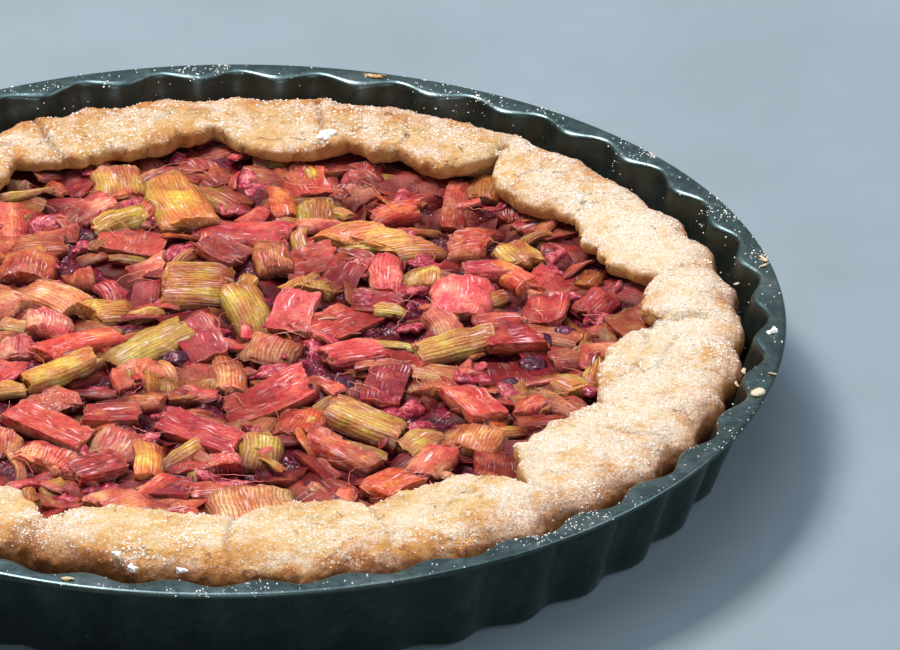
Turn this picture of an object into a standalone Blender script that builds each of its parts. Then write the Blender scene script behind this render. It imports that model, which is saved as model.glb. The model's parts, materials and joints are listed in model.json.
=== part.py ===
"""Rhubarb tart in the fluted tin that it was baked in.

The tin stands on z = 0 with its centre at the origin, and +Z points up.
Lengths are in metres, or in millimetres where a name ends in _MM.
Angles run anticlockwise from +X, seen from above.

The pieces are:
- tin: one sheet of pressed steel, with a flat floor, a fluted wall that leans outward
  and a flat flange whose outer edge is rolled;
- crust: one sheet of shortcrust, with a base, a side and a rim folded in over the filling;
- rhubarb_filling: the heap of cut rhubarb and its jam, out to the heap's uneven outline;
- rhubarb_01 and so on: the largest pieces of stalk, which lie on top of the heap;
- dark_berry_1 and so on: the whole berries in the heap.
"""

import math
import random

import bpy
import bmesh
from mathutils import Matrix, Vector
from mathutils.geometry import delaunay_2d_cdt

MM = 0.001

# ---- Tin ----
TIN_HEIGHT = 0.032
SHEET = 0.0009
FLANGE_RADIUS = 0.150
ROLLED_EDGE = 0.0020
WALL_TOP_RADIUS = 0.1436
WALL_FOOT_RADIUS = 0.1335
FLUTES = 40
FLUTE_DEPTH_TOP = 0.0019
FLUTE_DEPTH_FOOT = 0.0016
POINTS_PER_FLUTE = 6
FLANGE_POINTS = 80

# ---- Crust ----
GAP = 0.0004
CRUST_POINTS = 160
CRUST_BASE = 0.0040
CRUST_FOOT_RADIUS = 0.1312
CRUST_FOOT_FLUTE = 0.0010
CRUST_SIDE_FLUTE = 0.0008
SIDE_INNER_RADIUS = 0.1270
UNDER_FOLD_RADIUS = 0.1242
SHOULDER_LOW_Z = 0.0245
SHOULDER_TOP_Z = 0.0293
SHOULDER_WIDTH = 0.0028
CROWN_Z = 0.0317
CROWN_WIDTH = 0.0110
LIP_BACK = 0.0065
LIP_TOP_Z = 0.0306
LIP_NOSE_Z = 0.0277
LIP_UNDER_Z = 0.0252
LIP_UNDER_BACK = 0.0030
UNDER_FOLD_Z = 0.0245
LEAST_STEP = 0.0010

# The rim's outer edge: a mean radius and slow waves of (waves a turn, height in mm, phase in degrees).
RIM_RADIUS_MM = 135.4
RIM_WAVES = ((1, 2.1, -8), (2, 1.3, 36), (3, 0.5, 180), (5, 0.55, -20))

# How the rim's crown rises and falls, in the same terms.
CROWN_WAVES = ((4, 0.35, 50), (7, 0.30, 10), (12, 0.25, 200))

# The folds of dough, anticlockwise: (angle where the fold starts in degrees,
# radius of the inner edge there in mm, how far in the fold reaches in mm).
# A fold ends where the next one starts.
FOLDS = (
    (-113, 116, 103), (-88, 107, 100), (-69, 106, 102), (-48, 120, 101), (-24, 110, 102),
    (0, 116, 113), (13, 118, 108), (34, 113, 107), (53.5, 123, 107.5), (66, 111, 109.5),
    (73.5, 110, 102), (93, 115, 105.5), (122, 114, 104), (143, 111, 102), (163, 117, 105),
    (181, 108, 101), (205, 115, 106), (224, 110, 104),
)
FOLD_FULLNESS = 2.5

# Creases across the top of the rim, where one fold laps over the next: (angle, half width, depth in mm).
CREASES = ((115.5, 2.5, 1.0), (78.5, 2.0, 1.1), (-30, 2.5, 0.9), (-151, 2.5, 1.0), (165, 2.5, 1.0))

# ---- Filling ----
HEAP_RADIUS = 0.1237
HEAP_FOOT_Z = 0.0058
HEAP_EDGE_Z = 0.0215
HEAP_LOW_Z = 0.0208
HEAP_HIGH_Z = 0.0250
HEAP_UNDER_RIM_Z = 0.0236
HEAP_UNDER_RIM_RADIUS = 0.0965
HEAP_CELL = 0.0095
HEAP_JITTER = 0.25

# ---- Rhubarb pieces that lie on top of the heap ----
STALK_BED_Z = 0.0190
STALK_BED_SPREAD = 0.0012
STALK_THICKNESS_SHARE = 0.45
STALK_THINNEST = 0.0056
STALK_THICKEST = 0.0070
STALK_CHANNEL = 0.0011
STALK_BACK_STEPS = 5
STALK_BACK_FULLNESS = 0.8
SHARE_TURNED = 0.4
POCKET_CLEARANCE = 0.0004

# (x, y, direction of the stalk in degrees, length along the stalk, width across it,
# slant of the cut ends in degrees, colour); lengths in mm.
STALKS = (
    (-17, 81.5, 105, 28, 14, 12, "green"),
    (-41.5, 77.5, 30, 17, 15, 5, "pink"),
    (-27, 58.5, 80, 15, 15, -10, "pink"),
    (-41.5, 44, 95, 22, 9, 0, "pink"),
    (-11, 36, 15, 16, 20, 10, "green"),
    (6.5, 63.5, -15, 20, 11, 8, "red"),
    (37, 90.5, 92, 19, 13, 0, "brown"),
    (41, 57.5, 28, 14, 24, -30, "green"),
    (62, 78.5, 85, 20, 9, 0, "red"),
    (49, 75, 60, 12, 9, 0, "pink"),
    (67, 55, 2, 9, 18, 5, "brown"),
    (79, 48.5, -60, 9, 10, 0, "green"),
    (62.5, 24, 85, 17, 15, -8, "pink"),
    (29, 10.5, 45, 19, 12, 15, "pink"),
    (60.5, -3, 28, 20, 9, 10, "green"),
    (79.5, 3.5, 5, 12, 9, 0, "brown"),
    (91.5, -9, 20, 12, 11, -5, "brown"),
    (55, -22, 95, 13, 13, 0, "brown"),
    (37.5, -42, -38, 22, 13, 0, "green"),
    (76.5, -44, 100, 15, 12, 10, "pink"),
    (65.5, -57, 75, 12, 17, 8, "tan"),
    (11.5, -30, 35, 25, 13, -20, "red"),
    (6, 14.5, 105, 25, 11, -15, "green"),
    (-22, -1, 40, 23, 12, 10, "green"),
    (-45, -17, 40, 21, 9, 0, "green"),
    (-6, -66.5, 0, 19, 9, 20, "red"),
    (-43.5, -67, -42, 25, 10, 15, "tan"),
    (9, -90, -80, 15, 23, 8, "tan"),
    (-27.5, -89, -48, 16, 10, 0, "tan"),
    (28, -74, -62, 22, 10, 0, "red"),
    (-62, 25, -50, 18, 13, 10, "tan"),
    (-74, -40, 20, 21, 12, -12, "green"),
    (-86, 12, 75, 18, 13, 8, "pink"),
    (-82, 48, 35, 17, 11, 0, "red"),
    (-65, 67, -25, 18, 12, 10, "brown"),
    (-88, -18, -40, 16, 10, 0, "pink"),
)

# ---- Berries: (x, y, width) in mm ----
BERRIES = ((-14, -9.5, 8), (91, 6, 7), (65, 38.5, 8), (-58, -84, 8), (31.5, -23, 7), (-96, -4, 7))
BERRY_Z = 0.0222
BERRY_SHARE_HIGH = 0.9
BERRY_POCKET = 1.3

COLOURS = {
    "green": (0.42, 0.36, 0.10),
    "pink": (0.62, 0.20, 0.18),
    "red": (0.50, 0.11, 0.09),
    "brown": (0.33, 0.12, 0.08),
    "tan": (0.58, 0.36, 0.20),
}

RANDOM_SEED = 11


# ---- Helpers ----

def waves(angle, terms):
    """Sum of cosine waves round the tart; angle in radians, result in metres."""
    return MM * sum(height * math.cos(count * angle + math.radians(phase)) for count, height, phase in terms)


def flute(angle):
    """The flutes' wave: 1 where a flute is furthest out, -1 between two flutes."""
    return math.cos(FLUTES * angle)


def turn_gap(first, second):
    """Angle from first to second in degrees, between -180 and 180."""
    return (second - first + 180.0) % 360.0 - 180.0


def material(name, colour, roughness, metallic=0.0):
    """One Principled material."""
    made = bpy.data.materials.new(name)
    made.use_nodes = True
    shader = made.node_tree.nodes["Principled BSDF"]
    shader.inputs["Base Color"].default_value = (*colour, 1.0)
    shader.inputs["Roughness"].default_value = roughness
    shader.inputs["Metallic"].default_value = metallic
    return made


def add_object(name, bm, finish, smooth_below=40.0):
    """Turn a bmesh into a named object with its material."""
    bmesh.ops.recalc_face_normals(bm, faces=bm.faces)
    mesh = bpy.data.meshes.new(name)
    bm.to_mesh(mesh)
    bm.free()
    mesh.shade_smooth()
    mesh.set_sharp_from_angle(angle=math.radians(smooth_below))
    mesh.materials.append(finish)
    made = bpy.data.objects.new(name, mesh)
    bpy.context.scene.collection.objects.link(made)
    return made


def loop_of(bm, count, place):
    """A closed loop of count vertices; place gives (radius, height) at an angle."""
    made = []
    for step in range(count):
        angle = 2.0 * math.pi * step / count
        radius, height = place(angle)
        made.append(bm.verts.new((radius * math.cos(angle), radius * math.sin(angle), height)))
    return made


def skin(bm, fine, coarse):
    """Faces between two loops; the first has a whole number of vertices for each one of the second."""
    ratio = len(fine) // len(coarse)
    for step, corner in enumerate(coarse):
        following = coarse[(step + 1) % len(coarse)]
        start = step * ratio
        turn_at = start + (ratio + 1) // 2
        for spot in range(start, start + ratio):
            apex = corner if spot < turn_at else following
            bm.faces.new((fine[spot], fine[(spot + 1) % len(fine)], apex))
        bm.faces.new((corner, fine[turn_at % len(fine)], following))


def cap(bm, loop, height):
    """A flat fan that closes a loop at its centre."""
    centre = bm.verts.new((0.0, 0.0, height))
    for step, corner in enumerate(loop):
        bm.faces.new((corner, loop[(step + 1) % len(loop)], centre))


# ---- Tin ----

def make_tin():
    """Pressed steel: the outer skin from the foot up, over the rolled edge, and down the inside."""
    bm = bmesh.new()
    fine = FLUTES * POINTS_PER_FLUTE
    roll_middle = TIN_HEIGHT - ROLLED_EDGE / 2.0
    roll_inside = FLANGE_RADIUS - ROLLED_EDGE / 2.0

    def wall(radius, depth, height):
        return lambda angle: (radius + depth * flute(angle), height)

    def circle(radius, height):
        return lambda angle: (radius, height)

    foot = loop_of(bm, fine, wall(WALL_FOOT_RADIUS, FLUTE_DEPTH_FOOT, 0.0))
    under_flange = loop_of(bm, fine, wall(WALL_TOP_RADIUS + SHEET, FLUTE_DEPTH_TOP, TIN_HEIGHT - SHEET))
    roll_start = loop_of(bm, FLANGE_POINTS, circle(roll_inside - SHEET, TIN_HEIGHT - SHEET))
    roll_under = loop_of(bm, FLANGE_POINTS, circle(roll_inside, TIN_HEIGHT - ROLLED_EDGE))
    roll_out = loop_of(bm, FLANGE_POINTS, circle(FLANGE_RADIUS, roll_middle))
    roll_top = loop_of(bm, FLANGE_POINTS, circle(roll_inside, TIN_HEIGHT))
    mouth = loop_of(bm, fine, wall(WALL_TOP_RADIUS, FLUTE_DEPTH_TOP, TIN_HEIGHT))
    floor_edge = loop_of(bm, fine, wall(WALL_FOOT_RADIUS - SHEET, FLUTE_DEPTH_FOOT, SHEET))

    cap(bm, foot, 0.0)
    skin(bm, foot, under_flange)
    skin(bm, under_flange, roll_start)
    skin(bm, roll_start, roll_under)
    skin(bm, roll_under, roll_out)
    skin(bm, roll_out, roll_top)
    skin(bm, mouth, roll_top)
    skin(bm, mouth, floor_edge)
    cap(bm, floor_edge, SHEET)
    return add_object("tin", bm, material("dark_steel", (0.045, 0.055, 0.052), 0.35, 0.8))


# ---- Crust ----

def rim_edge(angle):
    """Radius of the rim's outer edge."""
    return RIM_RADIUS_MM * MM + waves(angle, RIM_WAVES) + CRUST_SIDE_FLUTE * flute(angle)


def inner_edge(angle):
    """Radius of the rim's inner edge: a notch at each end of a fold, a full curve between."""
    degrees = math.degrees(angle)
    for place, (start, notch, reach) in enumerate(FOLDS):
        next_start, next_notch, _ = FOLDS[(place + 1) % len(FOLDS)]
        width = (next_start - start) % 360.0
        along = (degrees - start) % 360.0
        if along < width:
            share = along / width
            straight = notch + (next_notch - notch) * share
            fullness = 1.0 - abs(2.0 * share - 1.0) ** FOLD_FULLNESS
            return MM * (straight - (straight - reach) * fullness)
    raise ValueError("the folds leave a gap")


def crease(angle):
    """How far the rim's top dips where folds overlap."""
    degrees = math.degrees(angle)
    dip = 0.0
    for middle, half_width, depth in CREASES:
        away = abs(turn_gap(middle, degrees)) / half_width
        dip += depth * MM * max(0.0, 1.0 - away)
    return dip


def make_crust():
    """The dough: base, side pressed into the flutes, and the rim folded in over the filling."""
    bm = bmesh.new()
    base_z = SHEET + GAP

    def crown_height(angle):
        return waves(angle, CROWN_WAVES) - crease(angle)

    def foot(angle):
        return CRUST_FOOT_RADIUS + CRUST_FOOT_FLUTE * flute(angle), base_z

    def shoulder_low(angle):
        return rim_edge(angle), SHOULDER_LOW_Z

    def shoulder_top(angle):
        return rim_edge(angle) - SHOULDER_WIDTH, SHOULDER_TOP_Z + 0.5 * crown_height(angle)

    def crown(angle):
        return rim_edge(angle) - CROWN_WIDTH, CROWN_Z + crown_height(angle)

    def lip_top(angle):
        back = min(inner_edge(angle) + LIP_BACK, rim_edge(angle) - CROWN_WIDTH - LEAST_STEP)
        return max(back, inner_edge(angle) + LEAST_STEP), LIP_TOP_Z + crown_height(angle)

    def lip_nose(angle):
        return inner_edge(angle), LIP_NOSE_Z

    def lip_under(angle):
        return inner_edge(angle) + LIP_UNDER_BACK, LIP_UNDER_Z

    def under_fold(angle):
        return max(UNDER_FOLD_RADIUS, inner_edge(angle) + LIP_UNDER_BACK + LEAST_STEP), UNDER_FOLD_Z

    def side_inner(angle):
        return SIDE_INNER_RADIUS, base_z + CRUST_BASE

    profile = (foot, shoulder_low, shoulder_top, crown, lip_top, lip_nose, lip_under, under_fold, side_inner)
    loops = [loop_of(bm, CRUST_POINTS, place) for place in profile]
    cap(bm, loops[0], base_z)
    for lower, upper in zip(loops, loops[1:]):
        skin(bm, lower, upper)
    cap(bm, loops[-1], base_z + CRUST_BASE)
    return add_object("crust", bm, material("baked_shortcrust", (0.76, 0.52, 0.26), 0.85))


# ---- Rhubarb ----

def stalk_mesh(length, width, thickness, slant, turned, grow):
    """A cut length of stalk along X: a rounded, ribbed back and a face with a shallow channel.

    turned puts the channel on top. grow makes it larger all round, as the cutter of its pocket.
    """
    half = width / 2.0 + grow
    section = []
    for step in range(STALK_BACK_STEPS + 1):
        turn = math.pi * step / STALK_BACK_STEPS
        lift = grow if 0 < step < STALK_BACK_STEPS else 0.0
        high = max(0.0, math.sin(turn)) ** STALK_BACK_FULLNESS
        section.append((half * math.cos(turn), thickness * high + lift))
    if grow:
        section += [(-half, -grow), (half, -grow)]
    else:
        section.append((0.0, min(STALK_CHANNEL, thickness / 4.0)))
    if turned:
        section = [(-across, thickness - up) for across, up in section]
    skew = math.tan(math.radians(slant))
    bm = bmesh.new()
    ends = []
    for end in (-1.0, 1.0):
        along = end * (length / 2.0 + grow)
        ends.append([bm.verts.new((along + skew * across, across, up)) for across, up in section])
    count = len(section)
    for step in range(count):
        following = (step + 1) % count
        bm.faces.new((ends[0][step], ends[0][following], ends[1][following], ends[1][step]))
    for end in ends:
        bm.faces.new(end)
    return bm


def stalk_place(row, bed):
    """Where a piece lies: its matrix."""
    x, y, direction = row[:3]
    return Matrix.Translation((x * MM, y * MM, bed)) @ Matrix.Rotation(math.radians(direction), 4, "Z")


def make_stalks():
    """The largest pieces, and for each one the cutter of its pocket in the heap."""
    rng = random.Random(RANDOM_SEED)
    finishes = {name: material("rhubarb_" + name, colour, 0.35) for name, colour in COLOURS.items()}
    cutters = bmesh.new()
    for number, row in enumerate(STALKS, 1):
        _, _, _, length, width, slant, colour = row
        length, width = length * MM, width * MM
        thickness = min(STALK_THICKEST, max(STALK_THINNEST, STALK_THICKNESS_SHARE * width))
        place = stalk_place(row, STALK_BED_Z + STALK_BED_SPREAD * rng.random())
        turned = rng.random() < SHARE_TURNED
        bm = stalk_mesh(length, width, thickness, slant, turned, 0.0)
        bm.transform(place)
        add_object(f"rhubarb_{number:02d}", bm, finishes[colour])
        hole = stalk_mesh(length, width, thickness, slant, turned, POCKET_CLEARANCE)
        hole.transform(place)
        scratch = bpy.data.meshes.new("scratch")
        hole.to_mesh(scratch)
        hole.free()
        cutters.from_mesh(scratch)
        bpy.data.meshes.remove(scratch)
    return cutters


def make_berries(cutters):
    """Whole berries, a little flattened by baking, and the cutters of their pockets."""
    finish = material("cooked_berry", (0.06, 0.01, 0.03), 0.25)
    for number, (x, y, width) in enumerate(BERRIES, 1):
        radius = width * MM / 2.0
        flatten = Matrix.Diagonal((1.0, 1.0, BERRY_SHARE_HIGH, 1.0))
        place = Matrix.Translation((x * MM, y * MM, BERRY_Z)) @ flatten
        bm = bmesh.new()
        bmesh.ops.create_icosphere(bm, subdivisions=2, radius=radius, matrix=place)
        add_object(f"dark_berry_{number}", bm, finish, 60.0)
        bmesh.ops.create_icosphere(cutters, subdivisions=1, radius=radius * BERRY_POCKET, matrix=place)


# ---- Filling ----

def heap_outline_points():
    """Plan of the heap: rings of points about one cell apart, each ring jittered but the outermost."""
    rng = random.Random(RANDOM_SEED + 1)
    points = []
    ring_count = round(HEAP_RADIUS / HEAP_CELL)
    edge_count = round(2.0 * math.pi * HEAP_RADIUS / HEAP_CELL)
    for ring in range(ring_count, 0, -1):
        radius = HEAP_RADIUS * ring / ring_count
        count = edge_count if ring == ring_count else max(6, round(2.0 * math.pi * radius / HEAP_CELL))
        jitter = 0.0 if ring == ring_count else HEAP_JITTER * HEAP_CELL
        for step in range(count):
            angle = 2.0 * math.pi * (step + 0.5 * (ring % 2)) / count
            points.append(Vector((radius * math.cos(angle) + jitter * rng.uniform(-1.0, 1.0),
                                  radius * math.sin(angle) + jitter * rng.uniform(-1.0, 1.0))))
    points.append(Vector((0.0, 0.0)))
    return points, edge_count


def heap_height(point, rng):
    """Height of the heap's top: uneven, and low enough under the rim to pass beneath it."""
    radius = point.length
    high = HEAP_HIGH_Z if radius < HEAP_UNDER_RIM_RADIUS else HEAP_UNDER_RIM_Z
    return rng.uniform(HEAP_LOW_Z, high)


def make_filling(cutters):
    """The heap, with a pocket under each piece that lies in its top."""
    rng = random.Random(RANDOM_SEED + 2)
    points, edge_count = heap_outline_points()
    edges = [(step, (step + 1) % edge_count) for step in range(edge_count)]
    plan, _, triangles, *_ = delaunay_2d_cdt(points, edges, [], 1, 1e-6)
    bm = bmesh.new()
    top = []
    for number, point in enumerate(plan):
        height = HEAP_EDGE_Z if number < edge_count else heap_height(point, rng)
        top.append(bm.verts.new((point.x, point.y, height)))
    for triangle in triangles:
        bm.faces.new([top[corner] for corner in triangle])
    foot = [bm.verts.new((corner.co.x, corner.co.y, HEAP_FOOT_Z)) for corner in top[:edge_count]]
    skin(bm, top[:edge_count], foot)
    cap(bm, foot, HEAP_FOOT_Z)
    heap = add_object("rhubarb_filling", bm, material("rhubarb_jam", (0.30, 0.04, 0.05), 0.3), 20.0)

    bmesh.ops.recalc_face_normals(cutters, faces=cutters.faces)
    mesh = bpy.data.meshes.new("pockets")
    cutters.to_mesh(mesh)
    cutters.free()
    pockets = bpy.data.objects.new("pockets", mesh)
    bpy.context.scene.collection.objects.link(pockets)
    pockets.hide_render = True
    pockets.display_type = "WIRE"
    cut = heap.modifiers.new("pockets", "BOOLEAN")
    cut.operation = "DIFFERENCE"
    cut.solver = "EXACT"
    cut.object = pockets


def main():
    for old in list(bpy.data.objects):
        bpy.data.objects.remove(old, do_unlink=True)
    make_tin()
    make_crust()
    cutters = make_stalks()
    make_berries(cutters)
    make_filling(cutters)


main()
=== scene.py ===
# %% [markdown]
# # A rhubarb tart in its fluted tin
# The tart is a round sheet of shortcrust with its edge folded in over a heap of cut rhubarb, baked in a
# dark steel tin. The script loads the plain construction model first, and then models each visible part
# again in full detail around it: tin, crust, jam, rhubarb, berries, sugar and crumbs.

# %% Load the construction model
import functools
import json
import math
import random

import bmesh
import bpy
import numpy as np
from mathutils import Euler, Matrix, Vector, noise


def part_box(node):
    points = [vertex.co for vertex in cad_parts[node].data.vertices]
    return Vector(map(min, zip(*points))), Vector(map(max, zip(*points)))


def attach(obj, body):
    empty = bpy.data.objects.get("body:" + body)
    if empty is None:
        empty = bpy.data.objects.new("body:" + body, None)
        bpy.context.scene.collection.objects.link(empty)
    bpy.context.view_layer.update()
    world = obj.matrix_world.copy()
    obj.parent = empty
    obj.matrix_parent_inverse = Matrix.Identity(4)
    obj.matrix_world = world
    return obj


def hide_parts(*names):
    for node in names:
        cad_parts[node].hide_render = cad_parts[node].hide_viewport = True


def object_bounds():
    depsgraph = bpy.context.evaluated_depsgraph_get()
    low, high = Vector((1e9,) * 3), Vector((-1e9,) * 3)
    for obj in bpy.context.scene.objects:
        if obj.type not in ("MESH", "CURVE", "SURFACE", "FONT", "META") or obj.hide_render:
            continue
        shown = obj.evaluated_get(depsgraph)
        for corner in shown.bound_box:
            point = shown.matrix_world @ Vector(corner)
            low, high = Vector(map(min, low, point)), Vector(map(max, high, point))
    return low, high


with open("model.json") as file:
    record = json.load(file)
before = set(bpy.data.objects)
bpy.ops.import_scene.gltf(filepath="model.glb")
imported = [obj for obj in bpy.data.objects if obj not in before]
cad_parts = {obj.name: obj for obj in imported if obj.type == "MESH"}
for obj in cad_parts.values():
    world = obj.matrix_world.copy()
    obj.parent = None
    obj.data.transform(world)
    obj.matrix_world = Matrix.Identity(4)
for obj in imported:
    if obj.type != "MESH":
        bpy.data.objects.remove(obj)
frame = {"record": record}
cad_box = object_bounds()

MM = 0.001
FULL_TURN = 2.0 * math.pi
print("construction box", [[round(value, 4) for value in corner] for corner in cad_box])

# %% [markdown]
# ## Helpers for materials
# Colours are written as sRGB hex codes, as a painter would read them off a screen, and one function turns
# them into the linear numbers that Blender's shaders want. One more function adds a shader node with its
# settings and links and gives back one of its outputs, so that a material below reads as a recipe: each
# line takes the lines above it as its ingredients. Patterns are sized in millimetres.

# %% Colours and nodes
# Blender's Mix node holds its share and its two colours at these places, and the mixed colour at MIXED.
SHARE, UNDER, OVER, MIXED = 0, 6, 7, 2


def srgb_steps(code):
    """A hex code as three numbers from 0 to 1, for mixing by eye."""
    return np.array([int(code[start:start + 2], 16) for start in (1, 3, 5)]) / 255.0


def to_linear(colours):
    """Rows of sRGB numbers to rows of linear red, green, blue and alpha."""
    colours = np.clip(np.atleast_2d(colours), 0.0, 1.0)
    made = np.where(colours <= 0.04045, colours / 12.92, ((colours + 0.055) / 1.055) ** 2.4)
    return np.column_stack([made, np.ones(len(made))])


def linear(code):
    """One hex code to linear red, green, blue and alpha."""
    return tuple(to_linear(srgb_steps(code))[0])


def add_node(tree, kind, inputs=None, output=0, stops=(), **settings):
    """Add one shader node and return one of its outputs.

    An input takes another node's output, a hex code, or a plain value; None leaves it alone.
    stops are the (position, hex code) marks of a colour ramp.
    """
    made = tree.nodes.new("ShaderNode" + kind)
    for name, setting in settings.items():
        setattr(made, name, setting)
    for name, value in (inputs or {}).items():
        if isinstance(value, bpy.types.NodeSocket):
            tree.links.new(value, made.inputs[name])
        elif value is not None:
            made.inputs[name].default_value = linear(value) if isinstance(value, str) else value
    for place, (position, code) in enumerate(stops):
        marks = made.color_ramp.elements
        if place == 0:
            marks.remove(marks[1])
        mark = marks.new(position) if place else marks[0]
        mark.position = position
        mark.color = linear(code)
    return made.outputs[output]


def new_material(name, **shader_values):
    """A material with an empty recipe, its shader, and add_node tied to it."""
    made = bpy.data.materials.new(name)
    made.use_nodes = True
    shader = made.node_tree.nodes["Principled BSDF"]
    for socket, value in shader_values.items():
        shader.inputs[socket.replace("_", " ")].default_value = value
    return made, shader, functools.partial(add_node, made.node_tree)


def feed(shader, **sockets):
    """Link outputs to the shader's inputs, named with _ for a space."""
    for name, socket in sockets.items():
        shader.id_data.links.new(socket, shader.inputs[name.replace("_", " ")])


def per_mm(size_mm):
    """The Scale of a pattern whose blotches or cells are size_mm across."""
    return 1.0 / (size_mm * MM)


def blotches(node, where, size_mm, detail, roughness, span, shares=(0.0, 1.0), distortion=0.0):
    """Soft blotches: the first share where the noise is below span, the second where it is above."""
    haze = node("TexNoise", {"Vector": where, "Scale": per_mm(size_mm), "Detail": detail,
                             "Roughness": roughness, "Distortion": distortion})
    return node("MapRange", {"Value": haze, "From Min": span[0], "From Max": span[1],
                             "To Min": shares[0], "To Max": shares[1]})


def finish(piece, material):
    """Put a material on a piece."""
    piece.data.materials.append(material)
    print(f"{piece.name}: {material.name}, {len(material.node_tree.nodes)} nodes")


print("a mid grey in linear numbers:", [round(value, 3) for value in linear("#808080")])

# %% [markdown]
# ## Helpers for modelling
# Blender's operators act on whatever is selected, so each piece is selected alone before it is shaped.
# Food is never even, and no operator makes it so by itself: the vertices' places are read as one array,
# moved with smooth noise, and written back, as a hand would push and pinch dough.

# %% Selecting, settling and moving
def deselect():
    """Leave edit mode and select nothing, so that the next operator acts on its own piece only."""
    if bpy.context.object and bpy.context.object.mode != "OBJECT":
        bpy.ops.object.mode_set(mode="OBJECT")
    bpy.ops.object.select_all(action="DESELECT")


def only(piece):
    """Select and activate one piece."""
    deselect()
    piece.select_set(True)
    bpy.context.view_layer.objects.active = piece


def settle(piece, name):
    """Name a new piece and put its place into its mesh."""
    only(piece)
    bpy.ops.object.transform_apply(location=True, rotation=True, scale=True)
    piece.name = name
    piece.data.name = name
    return piece


def close_skin(piece, reach_mm):
    """Merge the doubles along seams and poles, turn the faces outwards, and shade smooth."""
    only(piece)
    bpy.ops.object.mode_set(mode="EDIT")
    bpy.ops.mesh.select_all(action="SELECT")
    bpy.ops.mesh.remove_doubles(threshold=reach_mm * MM)
    bpy.ops.mesh.normals_make_consistent(inside=False)
    bpy.ops.object.mode_set(mode="OBJECT")
    bpy.ops.object.shade_smooth()


def corners_of(mesh):
    """The vertices' places as an array, in metres."""
    places = np.empty(len(mesh.vertices) * 3)
    mesh.vertices.foreach_get("co", places)
    return places.reshape(-1, 3)


def put_corners(mesh, places):
    """Write the vertices' places back."""
    mesh.vertices.foreach_set("co", np.ascontiguousarray(places, dtype=np.float32).ravel())
    mesh.update()


def put_values(mesh, name, values):
    """Keep one number for each vertex, for the material to read."""
    layer = mesh.attributes.new(name, "FLOAT", "POINT")
    layer.data.foreach_set("value", np.asarray(values, dtype=np.float32))


def wobble(places, size_mm, seed=0.0):
    """Smooth noise from about -1 to 1 at each place, its swells about size_mm across."""
    scale = per_mm(size_mm)
    shift = Vector((seed * 7.31, seed * 3.17, seed * 5.53))
    return np.array([noise.noise(Vector(place) * scale + shift) for place in places]) * 1.6


def step_up(value, low, high):
    """0 below low, 1 above high, smooth between."""
    share = np.clip((value - low) / (high - low), 0.0, 1.0)
    return share * share * (3.0 - 2.0 * share)


def on_circle(degrees, radius):
    """The x and y of a point at an angle and a radius."""
    return radius * math.cos(math.radians(degrees)), radius * math.sin(math.radians(degrees))


def chance_spot(rng, reach):
    """A point by chance in a circle, as likely in one place as in another."""
    distance, turn = reach * math.sqrt(rng.random()), rng.uniform(0.0, FULL_TURN)
    return distance * math.cos(turn), distance * math.sin(turn)


def join_copies(piece, bodies):
    """Give a piece one new mesh: its own faces round each body's corners, in metres."""
    count = len(piece.data.vertices)
    faces = [tuple(face.vertices) for face in piece.data.polygons]
    mesh = bpy.data.meshes.new(piece.name)
    mesh.from_pydata(np.concatenate(bodies).tolist(), [],
                     [tuple(corner + count * number for corner in face)
                      for number in range(len(bodies)) for face in faces])
    piece.data = mesh


def say(piece):
    """Print what a piece came to."""
    faces = sum(len(face.vertices) - 2 for face in piece.data.polygons)
    print(f"{piece.name}: {len(piece.data.vertices)} vertices, {faces} triangles")


print("a smooth step at a quarter, half and three quarters:", step_up(np.array((0.25, 0.5, 0.75)), 0.0, 1.0))

# %% [markdown]
# ## The tin
# A quiche tin is one disc of thin steel, pressed to a flat floor, a fluted wall that leans outward, and a
# flat flange whose edge is rolled under. It could be cut from solids, but a presser thinks in one sheet:
# so a circle is extruded ring by ring along the tin's section, the wall's rings are pushed in and out
# for the flutes, and Solidify gives the sheet its thickness last.

# %% Tin: its sizes
_, tin_high = (Vector(corner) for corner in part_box("tin"))
FLANGE_RADIUS = tin_high.x
TIN_TOP = tin_high.z
SHEET = 0.9 * MM
FLUTES = 40
SEGMENTS_PER_FLUTE = 12
WALL_RINGS = 9
FOOT_RADIUS = 133.2 * MM
MOUTH_RADIUS = 143.6 * MM
FLUTE_DEPTH = 1.95 * MM
FLUTES_FADE = 2.6 * MM        # how far the flutes run out over the flange
BEND_RADIUS = 1.7 * MM
ROLL_RADIUS = 0.9 * MM


def flute_wave(angle):
    """1 where a flute is furthest out, -1 between two flutes."""
    return np.cos(FLUTES * angle)


print(f"tin: {2000.0 * FLANGE_RADIUS:.1f} mm over the flange, {1000.0 * TIN_TOP:.1f} mm tall,",
      FLUTES, "flutes")


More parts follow.
